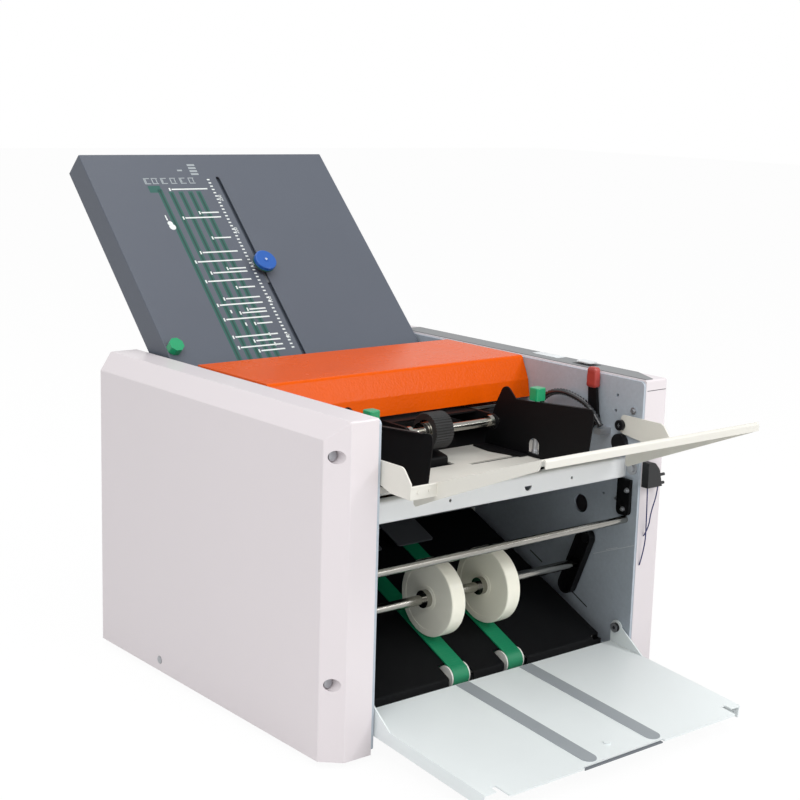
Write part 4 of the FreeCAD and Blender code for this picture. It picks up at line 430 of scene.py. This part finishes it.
class Shape:
    """A bmesh in millimetres that ends as one finished piece."""

    def __init__(self, name: str, place: Matrix | None = None) -> None:
        """Start an empty shape in a local frame whose units are millimetres."""
        self.name = name
        self.place = place if place is not None else DATUM.slope(0, 0, 0)
        self.mesh = bmesh.new()

    def join(self, part: bmesh.types.BMesh) -> "Shape":
        """Add a form from a mesh of its own.

        What follows a bevel in the same mesh gets its faces in an order that changes from run to
        run, so each form starts in an empty one.
        """
        data = bpy.data.meshes.new(self.name + ".part")
        part.to_mesh(data)
        part.free()
        self.mesh.from_mesh(data)
        bpy.data.meshes.remove(data)
        return self

    def slab(self, low: Point, high: Point, bevel: float = 0.0, segments: int = 2) -> "Shape":
        """Add a box with rounded edges.

        Args:
            low: Lowest corner.
            high: Highest corner.
            bevel: Radius of all its edges.
            segments: Steps of each rounding.

        Returns:
            This shape.
        """
        size = [b - a for a, b in zip(low, high)]
        middle = [(a + b) / 2 for a, b in zip(low, high)]
        where = Matrix.Translation(middle) @ Matrix.Diagonal((*size, 1.0))
        part = bmesh.new()
        bmesh.ops.create_cube(part, size=1.0, matrix=where)
        if bevel:
            bmesh.ops.bevel(part, geom=part.edges[:], offset=bevel, segments=segments, profile=0.5,
                            affect="EDGES", material=-1)
        return self.join(part)

    def round(self, centre: Point, radius: float, height: float, axis: str = "Z", sides: int = 32,
              top: float | None = None, bevel: float = 0.0) -> "Shape":
        """Add a round post or a cone along an axis, standing on its centre.

        Args:
            centre: Middle of its foot.
            radius: Foot radius.
            height: Length, negative to point the other way.
            axis: X, Y or Z.
            sides: Number of facets.
            top: Radius of the far end, the same if left out.
            bevel: Radius of the two rims.

        Returns:
            This shape.
        """
        turn = {"X": Matrix.Rotation(math.pi / 2, 4, "Y"), "Y": Matrix.Rotation(-math.pi / 2, 4, "X"),
                "Z": Matrix.Identity(4)}[axis]
        where = Matrix.Translation(centre) @ turn @ Matrix.Translation((0, 0, height / 2))
        part = bmesh.new()
        bmesh.ops.create_cone(part, cap_ends=True, segments=sides, radius1=radius,
                              radius2=radius if top is None else top, depth=abs(height), matrix=where)
        if bevel:
            rims = [edge for edge in part.edges if any(len(face.verts) > 4 for face in edge.link_faces)]
            bmesh.ops.bevel(part, geom=rims, offset=bevel, segments=2, profile=0.5,
                            affect="EDGES", material=-1)
        return self.join(part)

    def print_text(self, words: str, x: float, y: float, size: float, degrees: float = 0.0) -> "Shape":
        """Add flat figures on the local XY plane.

        Args:
            words: The figures.
            x: Left end.
            y: Foot line.
            size: Height of the figures.
            degrees: Turn about the plane's normal.

        Returns:
            This shape.
        """
        curve = bpy.data.curves.new(self.name + ".text", "FONT")
        curve.body = words
        curve.size = size
        holder = bpy.data.objects.new(self.name + ".text", curve)
        bpy.context.scene.collection.objects.link(holder)
        bpy.context.view_layer.update()
        flat = bpy.data.meshes.new_from_object(holder)
        turn = Matrix.Translation((x, y, 0.06)) @ Matrix.Rotation(math.radians(degrees), 4, "Z")
        flat.transform(turn)
        self.mesh.from_mesh(flat)
        bpy.data.objects.remove(holder)
        bpy.data.curves.remove(curve)
        bpy.data.meshes.remove(flat)
        return self

    def finish(self, stock: Stock, body: str, smooth: bool = True) -> bpy.types.Object:
        """Make the object, at the origin, dressed and riding on its body.

        Args:
            stock: Its finish.
            body: Body it rides on.
            smooth: Whether its faces are shaded round.

        Returns:
            The object.
        """
        bmesh.ops.remove_doubles(self.mesh, verts=self.mesh.verts[:], dist=1e-4)
        bmesh.ops.recalc_face_normals(self.mesh, faces=self.mesh.faces[:])
        self.mesh.transform(self.place @ Matrix.Diagonal((MM, MM, MM, 1.0)))
        data = bpy.data.meshes.new(self.name)
        self.mesh.to_mesh(data)
        self.mesh.free()
        made = bpy.data.objects.new(self.name, data)
        bpy.context.scene.collection.objects.link(made)
        if smooth:
            data.shade_smooth()
            data.set_sharp_from_angle(angle=math.radians(34))
        data.materials.append(Palette.get(stock))
        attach(made, body)
        LOG.info("piece %s: %d faces on %s", self.name, len(data.polygons), body)
        return made


@dataclass
class SubAssembly:
    """A group of pieces that is built together."""

    title: str = "part"

    def build(self) -> None:
        """Make the pieces."""

    def report(self) -> None:
        """Build and say so."""
        self.build()
        LOG.info("built %s", self.title)


# ---- leads and loom -------------------------------------------------------------
@dataclass
class Harness(SubAssembly):
    """Two thin leads at the connector block and the ribbed loom by the right frame."""

    title: str = "harness"
    lead_thick: float = 1.3
    lead_y: float = -5.0
    lead_end_y: float = -0.72
    long_lead: tuple = ((179.3, 204.5), (181.2, 165.0), (180.8, 140.0), (178.8, 120.0))
    short_lead: tuple = ((195.4, 204.5), (194.5, 194.0), (187.0, 177.0), (184.9, 160.0), (182.6, 151.0))
    loom_x: float = 159.5
    loom_thick: float = 7.2
    loom: tuple = ((144.0, 250.0), (140.0, 270.0), (124.0, 285.0), (103.0, 290.0), (82.0, 286.5),
                   (62.0, 279.5), (47.0, 262.0))
    rib: float = 2.0
    groove: float = 0.66

    def spline(self, name: str, points: list[Vector], thick: float) -> bpy.types.Object:
        """A smooth curve along points.

        Args:
            name: Name of the object.
            points: Control points in the row frame.
            thick: Diameter in millimetres, 0 for a bare line.

        Returns:
            The curve's object.
        """
        curve = bpy.data.curves.new(name, "CURVE")
        curve.dimensions = "3D"
        curve.resolution_u = 24
        curve.bevel_depth = thick * MM / 2
        curve.bevel_resolution = 4
        curve.use_fill_caps = thick > 0
        line = curve.splines.new("NURBS")
        line.points.add(len(points) - 1)
        for knot, point in zip(line.points, points):
            knot.co = (*point, 1.0)
        line.order_u = 3
        line.use_endpoint_u = True
        made = bpy.data.objects.new(name, curve)
        bpy.context.scene.collection.objects.link(made)
        return made

    def centreline(self, points: list[Vector]) -> list[Vector]:
        """Points along the smooth curve through the control points."""
        bare = self.spline("centreline", points, 0.0)
        bpy.context.view_layer.update()
        flat = bpy.data.meshes.new_from_object(bare)
        route = [vert.co.copy() for vert in flat.vertices]
        bpy.data.objects.remove(bare)
        bpy.data.meshes.remove(flat)
        return route

    def length(self, route: list[Vector]) -> float:
        """Length of a route."""
        return sum((b - a).length for a, b in zip(route, route[1:]))

    def lead(self, name: str, flat: tuple) -> None:
        """One thin lead that hangs from the block and ends on the cover's front.

        Args:
            name: Node that it stands for.
            flat: (x, z) control points in millimetres.
        """
        points = [DATUM.at(x, self.lead_y, z) for x, z in flat[:-1]]
        points.append(DATUM.at(flat[-1][0], self.lead_end_y, flat[-1][1]))
        made = self.spline(name + "_cord", points, self.lead_thick)
        made.data.materials.append(Palette.get(Stock.LEAD))
        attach(made, "base")
        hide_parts(name)
        self.length(self.centreline(points))

    def ribbed_loom(self) -> None:
        """Loom with rings pressed into its wall."""
        points = [DATUM.at(self.loom_x, y, z) for y, z in self.loom]
        route = self.centreline(points)
        total = self.length(route)
        steps = int(total / (self.rib * MM))
        mesh = bmesh.new()
        rings = []
        for index in range(steps + 1):
            spot, way = self.along(route, total * index / steps)
            radius = self.loom_thick * MM / 2 * (1.0 if index % 2 else self.groove)
            turn = way.to_track_quat("Z", "X").to_matrix().to_4x4()
            made = bmesh.ops.create_circle(mesh, segments=14, radius=radius,
                                           matrix=Matrix.Translation(spot) @ turn)
            rings.append(made["verts"])
        for first, second in zip(rings, rings[1:]):
            edges = dict.fromkeys(e for ring in (first, second) for vert in ring for e in vert.link_edges
                                  if e.other_vert(vert) in ring)
            bmesh.ops.bridge_loops(mesh, edges=list(edges))
        bmesh.ops.holes_fill(mesh, edges=[e for e in mesh.edges if e.is_boundary], sides=0)
        bmesh.ops.recalc_face_normals(mesh, faces=mesh.faces[:])
        data = bpy.data.meshes.new("loom_tube")
        mesh.to_mesh(data)
        mesh.free()
        data.shade_smooth()
        made = bpy.data.objects.new("loom_tube", data)
        bpy.context.scene.collection.objects.link(made)
        data.materials.append(Palette.get(Stock.LOOM))
        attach(made, "base")
        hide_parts("wire_loom")

    def along(self, route: list[Vector], distance: float) -> tuple[Vector, Vector]:
        """Point and direction at a distance along a route."""
        left = distance
        for a, b in zip(route, route[1:]):
            step = (b - a).length
            if left <= step or b is route[-1]:
                way = (b - a).normalized()
                return a + way * min(left, step), way
            left -= step
        return route[-1], (route[-1] - route[-2]).normalized()

    def build(self) -> None:
        """Make the leads and the loom."""
        self.lead("sensor_wire_long", self.long_lead)
        self.lead("sensor_wire_short", self.short_lead)
        self.ribbed_loom()


# ---- printed marks and trim -------------------------------------------------------
@dataclass
class FoldPlateMarks(SubAssembly):
    """Rule, column lines and size bars on the upper fold plate."""

    title: str = "fold plate marks"
    thick: float = 0.08
    rule_x: float = -16.0
    rule_ends: tuple = (0, 246)
    rule_lean: float = 0.015
    figures: tuple = (("250", 217), ("200", 168), ("150", 117), ("100", 67), ("50", 17))
    bands: tuple = ((-86.0, 232), (-72.4, 228), (-59.5, 228), (-46.7, 228), (-35.5, 228))
    band_half: float = 3.3
    core_half: float = 1.2
    bars: tuple = ((-73.3, 231.3), (-48.3, 195.7), (-73.0, 188.7), (-47.3, 158.3), (-72.0, 138.1),
                   (-84.0, 125.3), (-47.2, 113.6), (-70.8, 108.8), (-82.6, 97.4), (-46.9, 86.6),
                   (-70.2, 72.1), (-82.2, 64.1), (-46.6, 55.8), (-58.0, 51.5), (-82.4, 44.2),
                   (-45.6, 35.8), (-81.6, 20.1), (-57.2, 12.8), (-80.9, 5.8), (-56.9, -0.8))
    ticks: tuple = ((-69.0, 54.4), (-57.6, 36.0), (-33.5, 20.0), (-32.4, 6.5))
    icons: tuple = (-96.7, -86.5, -74.5, -62.1, -49.3, -37.3)

    def mark(self, shape: Shape, x0: float, x1: float, y0: float, y1: float) -> None:
        """One flat mark."""
        shape.slab((x0, y0, 0.04), (x1, y1, 0.04 + self.thick))

    def rule(self) -> None:
        """Millimetre rule beside the slot."""
        marks = Shape("rule_marks", DATUM.fold_plate())
        for step in range(self.rule_ends[0], self.rule_ends[1], 5):
            x = self.rule_x + (self.rule_ends[1] - step) * self.rule_lean
            self.mark(marks, x, x + 3.6, step - 0.9, step + 0.9)
        for label, spot in self.figures:
            marks.print_text(label, -7.4, spot - 5.0, 6.4, 90.0)
        marks.finish(Stock.INK_WHITE, "base", smooth=False)

    def columns(self) -> None:
        """Green columns and the heading field."""
        lines = Shape("column_bands", DATUM.fold_plate())
        for x, top in self.bands:
            lines.slab((x - self.band_half, -14, 0.0), (x + self.band_half, top, 0.03))
        lines.slab((-99.6, 227, 0.0), (-83.7, 237, 0.03))
        lines.finish(Stock.INK_GREEN, "base", smooth=False)
        cores = Shape("column_cores", DATUM.fold_plate())
        for x, top in self.bands:
            cores.slab((x - self.core_half, -14, 0.01), (x + self.core_half, top - 2, 0.04))
        cores.finish(Stock.INK_CORE, "base", smooth=False)

    def size_bars(self) -> None:
        """White bars of the paper sizes with a tick at each one's left end."""
        bars = Shape("size_bars", DATUM.fold_plate())
        for x, spot in self.bars:
            self.mark(bars, x + 3.4, -21.5, spot - 0.9, spot + 0.9)
        for x, spot in self.bars + self.ticks:
            self.mark(bars, x, x + 1.9, spot - 2.2, spot + 2.2)
        bars.finish(Stock.INK_WHITE, "base", smooth=False)

    def heading(self) -> None:
        """Bare fold signs above the columns, a plain block and a drop-shaped pointer."""
        signs = Shape("fold_signs", DATUM.fold_plate())
        for index, x in enumerate(self.icons):
            lean = 2.0 if index % 2 else -2.0
            self.mark(signs, x - 3.6, x + 3.6, 239.6, 240.8)
            self.mark(signs, x - 3.6, x + 3.6, 247.4, 248.6)
            self.mark(signs, x - 4.2, x - 3.0, 239.6, 248.6)
            self.mark(signs, x + lean - 0.6, x + lean + 0.6, 241.5, 248.6)
        for step in range(4):
            self.mark(signs, -34.0, -23.8, 252.5 + step * 4.6, 255.3 + step * 4.6)
        self.mark(signs, -50.5, -44.0, 258.6, 260.8)
        signs.finish(Stock.INK_GREY, "base", smooth=False)
        drop = Shape("pointer_mark", DATUM.fold_plate())
        drop.round((-91.6, 176.5, 0.04), 4.2, self.thick, sides=24)
        drop.round((-92.6, 181.5, 0.03), 3.4, self.thick, sides=24)
        self.mark(drop, -95.2, -93.6, 186.0, 193.5)
        drop.finish(Stock.INK_WHITE, "base", smooth=False)

    def build(self) -> None:
        """Make all marks."""
        self.columns()
        self.rule()
        self.size_bars()
        self.heading()


@dataclass
class TrayTrim(SubAssembly):
    """Slide strips and one small screw on the exit tray."""

    title: str = "tray trim"
    hinge_y: float = 24.4
    hinge_z: float = 31.9
    tilt: float = 5.1
    strips: tuple = (-42.5, 42.5)
    screw: tuple = (-6.3, -160.8)
    wide: float = 17.0
    long: float = 180.0

    def build(self) -> None:
        """Make two strips with rounded front ends, and the screw in its ring."""
        plane = DATUM.slope(self.hinge_y, self.hinge_z, self.tilt)
        shape = Shape("tray_strips", plane)
        half = self.wide / 2
        for middle in self.strips:
            shape.slab((middle - half, -self.long + half, 0.0), (middle + half, -1.0, 0.5), 0.15, 1)
            shape.round((middle, -self.long + half, 0.02), half - 0.05, 0.46, sides=40)
        shape.finish(Stock.STRIP, "exit_tray", smooth=False)
        ring = Shape("tray_screw_ring", plane)
        ring.round((self.screw[0], self.screw[1], 0.0), 2.6, 0.06, sides=28)
        ring.finish(Stock.DARK_INK_AND_SHADE, "exit_tray", smooth=False)
        screw = Shape("tray_screw", plane)
        screw.round((self.screw[0], self.screw[1], 0.0), 1.8, 0.5, sides=28, top=1.2)
        screw.finish(Stock.STEEL, "exit_tray")


@dataclass
class ControlTrim(SubAssembly):
    """Display window and printed ring on the control panel."""

    title: str = "control trim"
    top: float = 316.8
    window: tuple = ((188.5, 143.0), (201.5, 182.0))
    key_field: tuple = ((182.0, 86.0), (198.0, 114.0))

    def build(self) -> None:
        """Make the window and its frame."""
        window = Shape("display_window")
        near, far = self.window
        window.slab((*near, self.top - 0.2), (*far, self.top + 0.5), 0.25)
        window.finish(Stock.KEY, "base")
        ring = Shape("key_field")
        near, far = self.key_field
        ring.slab((*near, self.top - 0.1), (*far, self.top + 0.12))
        ring.finish(Stock.DARK_INK_AND_SHADE, "base", smooth=False)


@dataclass
class FrameMarks(SubAssembly):
    """Right frame scratches, pin crosses, tray screws; painted shade in slits, sockets and the cover's
    seam.
    """

    title: str = "frame marks"
    face: float = 171.3
    slits: tuple = (((94.5, 72.8), (63.2, 57.6)), ((153.5, 99.0), (133.8, 90.0)))
    scratches: tuple = (((58.0, 119.0), (1.0, 142.0)), ((40.0, 128.0), (24.0, 134.0)))
    hook_pin: tuple = (26.0, 266.0)
    pin_reach: float = 7.05
    tray_hinge: tuple = (17.1, 48.9)
    head_face: float = 165.3

    def strip(self, shape: Shape, ends: tuple, half: float, thick: float) -> None:
        """A thin straight strip on the right frame's inner face.

        Args:
            shape: Shape that it is added to.
            ends: Two (y, z) points.
            half: Half its width.
            thick: How far it stands off the face.
        """
        (y0, z0), (y1, z1) = ends
        reach = math.hypot(y1 - y0, z1 - z0) / 2
        made = bmesh.ops.create_cube(shape.mesh, size=1.0)
        turn = Matrix.Rotation(math.atan2(z1 - z0, y1 - y0), 4, "X")
        where = (Matrix.Translation((self.face - thick / 2, (y0 + y1) / 2, (z0 + z1) / 2)) @ turn
                 @ Matrix.Diagonal((thick, reach * 2, half * 2, 1.0)))
        bmesh.ops.transform(shape.mesh, matrix=where, verts=made["verts"])

    def wall_marks(self) -> None:
        """Painted shade of the right frame's slits, and its scratches."""
        # Flat dark strips stand for the slits: painted shade inside them.
        dark = Shape("frame_slit_shade")
        for ends in self.slits:
            self.strip(dark, ends, 0.75, 0.04)
        dark.finish(Stock.DARK_INK_AND_SHADE, "base", smooth=False)
        pale = Shape("frame_scratches")
        for ends in self.scratches:
            self.strip(pale, ends, 0.35, 0.03)
        pale.finish(Stock.SCRATCH, "base", smooth=False)

    def caps(self) -> None:
        """Crossed recesses of the screws in the hook pins."""
        caps = Shape("hook_caps")
        y, z = self.hook_pin
        for side in (-1, 1):
            x = side * (self.face - self.pin_reach)
            for half_y, half_z in ((1.9, 0.45), (0.45, 1.9)):
                caps.slab((min(x, x - side * 0.05), y - half_y, z - half_z),
                          (max(x, x - side * 0.05), y + half_y, z + half_z))
        caps.finish(Stock.STEEL, "base", smooth=False)

    def tray_screws(self) -> None:
        """Bright socket heads on the screws that the tray turns on, with painted shade in their hex
        sockets.
        """
        heads = Shape("tray_screw_heads")
        sockets = Shape("tray_screw_socket_shade")
        y, z = self.tray_hinge
        for side in (-1, 1):
            x = side * self.head_face
            heads.round((x, y, z), 4.7, -side * 0.3, "X", 36)
            # Thin dark hex disc: painted shade in each socket.
            sockets.round((x - side * 0.3, y, z), 2.1, -side * 0.04, "X", 6)
        heads.finish(Stock.STEEL, "base")
        sockets.finish(Stock.DARK_INK_AND_SHADE, "base", smooth=False)

    def seam(self) -> None:
        """Painted shadow line where the control housing sits on the right cover."""
        line = Shape("housing_seam_shadow")
        line.slab((176.2, -0.05, 304.6), (204.4, 0.25, 305.3))
        line.finish(Stock.DARK_INK_AND_SHADE, "base", smooth=False)

    def build(self) -> None:
        """Make all marks."""
        self.wall_marks()
        self.caps()
        self.tray_screws()
        self.seam()


@dataclass
class KnobTrim(SubAssembly):
    """Dark rim under the stop knob's head and the small screw in its top."""

    title: str = "knob trim"
    stop_at: float = 114.0
    radius: float = 13.5
    head_low: float = 6.8
    head_top: float = 13.7

    def build(self) -> None:
        """Make the rim and the crossed screw."""
        plane = DATUM.fold_plate()
        rim = Shape("stop_knob_rim", plane)
        rim.round((0.0, self.stop_at, self.head_low - 0.1), self.radius + 0.15, 2.4, sides=56, bevel=0.3)
        rim.finish(Stock.INK_GREEN, "stop_knob")
        screw = Shape("stop_knob_screw", plane)
        screw.round((0.0, self.stop_at, self.head_top - 0.1), 3.0, 0.5, sides=32, bevel=0.15)
        screw.finish(Stock.BLUE_KNOB, "stop_knob")
        cross = Shape("stop_knob_cross", plane)
        for wide, long in ((1.7, 0.35), (0.35, 1.7)):
            cross.slab((-wide, self.stop_at - long, self.head_top + 0.38),
                       (wide, self.stop_at + long, self.head_top + 0.43))
        cross.finish(Stock.INK_WHITE, "stop_knob", smooth=False)


@dataclass
class GuideSleeves(SubAssembly):
    """Steel sleeves on the threaded stems of the two guide knobs."""

    title: str = "guide sleeves"
    nodes: tuple = ("right_guide_knob", "left_guide_knob")
    radius: float = 2.75
    knob_high: float = 14.5

    def build(self) -> None:
        """Make a sleeve from each knob's foot down to its lowest point."""
        for node in self.nodes:
            low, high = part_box(node)
            foot = Vector(((low.x + high.x) / 2, (low.y + high.y) / 2, low.z))
            sleeve = Shape(node + "_sleeve", Matrix.Translation(foot))
            long = (high.z - low.z) / MM - self.knob_high
            sleeve.round((0.0, 0.0, 0.2), self.radius, long, sides=32)
            sleeve.round((0.0, 0.0, 0.3), self.radius + 0.8, 7.0, sides=32, bevel=0.3)
            sleeve.finish(Stock.STEEL, node)


@dataclass
class Grip(SubAssembly):
    """Soft rounded grip on the lever."""

    title: str = "lever grip"
    node: str = "lever_grip"
    body: str = "lever"
    rounds: int = 3
    soften: float = 0.35
    taper: float = 0.18

    def build(self) -> None:
        """Make the grip inside the box of its node."""
        low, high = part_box(self.node)
        size = (high - low) / MM
        centre = (high + low) / 2
        grip = Shape("lever_grip_soft", Matrix.Translation(centre))
        half = size / 2
        grip.slab((-half.x, -half.y, -half.z), (half.x, half.y, half.z))
        bmesh.ops.subdivide_edges(grip.mesh, edges=grip.mesh.edges[:], cuts=3, use_grid_fill=True)
        for _ in range(self.rounds):
            bmesh.ops.smooth_vert(grip.mesh, verts=grip.mesh.verts[:], factor=self.soften,
                                  use_axis_x=True, use_axis_y=True, use_axis_z=True)
        for vert in grip.mesh.verts:
            vert.co.y *= 1.0 - self.taper * max(0.0, vert.co.z / half.z)
        bmesh.ops.subdivide_edges(grip.mesh, edges=grip.mesh.edges[:], cuts=1, use_grid_fill=True,
                                  smooth=1.0)
        made = grip.finish(Stock.RED_GRIP, self.body)
        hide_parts(self.node)


# ---- dressing, light and camera ------------------------------------------------------
@dataclass(frozen=True)
class Lamp:
    """One soft square lamp, in metres and watts."""

    name: str
    place: Point
    size: float
    power: float
    aim: Point = (0.0, -0.05, 0.2)
    matt_share: float = 1.0


@dataclass
class Dressing(SubAssembly):
    """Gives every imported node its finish."""

    title: str = "packed nodes"
    nodes: dict = field(default_factory=dict)

    def build(self) -> None:
        """Put a material on each node."""
        for name, stock in NODE_FINISH.items():
            made = self.nodes[name]
            for slot in made.material_slots:
                slot.material = Palette.get(stock)
        LOG.info("dressed %d nodes", len(NODE_FINISH))


@dataclass
class Studio(SubAssembly):
    """Pale floor, soft lamps, pale surroundings and the camera."""

    title: str = "studio"
    azimuth: float = -39.678
    elevation: float = 11.228
    roll: float = 1.671
    eye: Point = (-1014.5, -1040.1, 598.3)
    lens: float = 70.0
    backdrop: float = 1.0
    fill: float = 0.55
    mirrored: float = 0.55
    floor_tone: Color = (0.80, 0.80, 0.80)
    floor_glow: float = 1.02
    floor_share: float = 0.93
    lamps: tuple = (
        Lamp("key_lamp", (-1.5, -1.3, 2.2), 1.6, 33.0),
        Lamp("front_lamp", (0.7, -2.2, 1.2), 1.8, 13.0),
        Lamp("top_lamp", (0.2, 0.5, 2.4), 1.6, 12.0),
        Lamp("window_lamp", (0.93, -1.27, 1.17), 0.4, 6.0, (-0.1, 0.0, 0.3), 0.1),
    )

    def camera(self) -> None:
        """Place the camera."""
        turn = math.radians(self.azimuth)
        rise = math.radians(self.elevation)
        lean = math.radians(self.roll)
        back = Vector((math.sin(turn) * math.cos(rise), -math.cos(turn) * math.cos(rise), math.sin(rise)))
        right = Vector((math.cos(turn), math.sin(turn), 0.0))
        up = back.cross(right)
        side = right * math.cos(lean) + up * math.sin(lean)
        top = up * math.cos(lean) - right * math.sin(lean)
        data = bpy.data.cameras.new("camera")
        data.lens = self.lens
        data.sensor_width = 36.0
        data.clip_start = 0.05
        data.clip_end = 50.0
        camera = bpy.data.objects.new("camera", data)
        bpy.context.scene.collection.objects.link(camera)
        matrix = Matrix((side, top, back)).transposed().to_4x4()
        matrix.translation = DATUM.at(*self.eye)
        camera.matrix_world = matrix
        bpy.context.scene.camera = camera

    def hang(self, lamp: Lamp) -> None:
        """Put one lamp in its place, turned to its aim."""
        data = bpy.data.lights.new(lamp.name, "AREA")
        data.size = lamp.size
        data.energy = lamp.power
        data.diffuse_factor = lamp.matt_share
        made = bpy.data.objects.new(lamp.name, data)
        bpy.context.scene.collection.objects.link(made)
        made.location = lamp.place
        way = Vector(lamp.aim) - Vector(lamp.place)
        made.rotation_euler = way.to_track_quat("-Z", "Y").to_euler()

    def seen(self, tree: Tree) -> Sock:
        """One for rays from the camera, a mirror or glass."""
        path = tree.nodes.new("ShaderNodeLightPath")
        first = Sock(tree, path.outputs["Is Camera Ray"])
        second = Sock(tree, path.outputs["Is Glossy Ray"])
        third = Sock(tree, path.outputs["Is Transmission Ray"])
        return first.maths("MAXIMUM", first, second.maths("MAXIMUM", second * self.mirrored, third))

    def surroundings(self) -> None:
        """World that lights softly and looks white."""
        world = bpy.data.worlds.new("surroundings")
        bpy.context.scene.world = world
        world.use_nodes = True
        tree = Tree.__new__(Tree)
        tree.nodes = world.node_tree.nodes
        tree.links = world.node_tree.links
        tree.nodes.clear()
        end = tree.nodes.new("ShaderNodeOutputWorld")
        level = self.fill + self.seen(tree) * (self.backdrop - self.fill)
        glow = tree.add("ShaderNodeBackground", {}, {"Color": (1.0, 1.0, 1.0, 1.0), "Strength": level})
        tree.links.new(glow.out, end.inputs[0])

    def floor(self) -> None:
        """Wide pale floor that keeps a soft shadow."""
        mesh = bmesh.new()
        bmesh.ops.create_grid(mesh, x_segments=1, y_segments=1, size=12.0)
        data = bpy.data.meshes.new("floor")
        mesh.to_mesh(data)
        mesh.free()
        made = bpy.data.objects.new("floor", data)
        bpy.context.scene.collection.objects.link(made)
        tree = Tree("floor_pale")
        tree.feed(Base_Color=self.floor_tone, Roughness=0.9)
        glow = tree.add("ShaderNodeEmission", {}, {"Color": (1.0, 1.0, 1.0, 1.0),
                                                   "Strength": self.floor_glow})
        blend = tree.nodes.new("ShaderNodeMixShader")
        tree.links.new((self.seen(tree) * self.floor_share).out, blend.inputs[0])
        tree.links.new(tree.shader.outputs[0], blend.inputs[1])
        tree.links.new(glow.out, blend.inputs[2])
        tree.links.new(blend.outputs[0], tree.end.inputs[0])
        data.materials.append(tree.material)

    def build(self) -> None:
        """Set up the view."""
        bpy.context.scene.view_settings.view_transform = "Standard"
        self.camera()
        self.surroundings()
        self.floor()
        for lamp in self.lamps:
            self.hang(lamp)


def main() -> None:
    """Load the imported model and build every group."""
    logging.basicConfig(level=logging.INFO, format="%(message)s")
    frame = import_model()
    DATUM.read()
    parts: list[SubAssembly] = [
        Studio(), Harness(), Dressing(nodes=frame["nodes"]), FoldPlateMarks(), TrayTrim(),
        ControlTrim(), FrameMarks(), Grip(), GuideSleeves(), KnobTrim(),
    ]
    for part in parts:
        part.report()


if __name__ == "__main__":
    main()
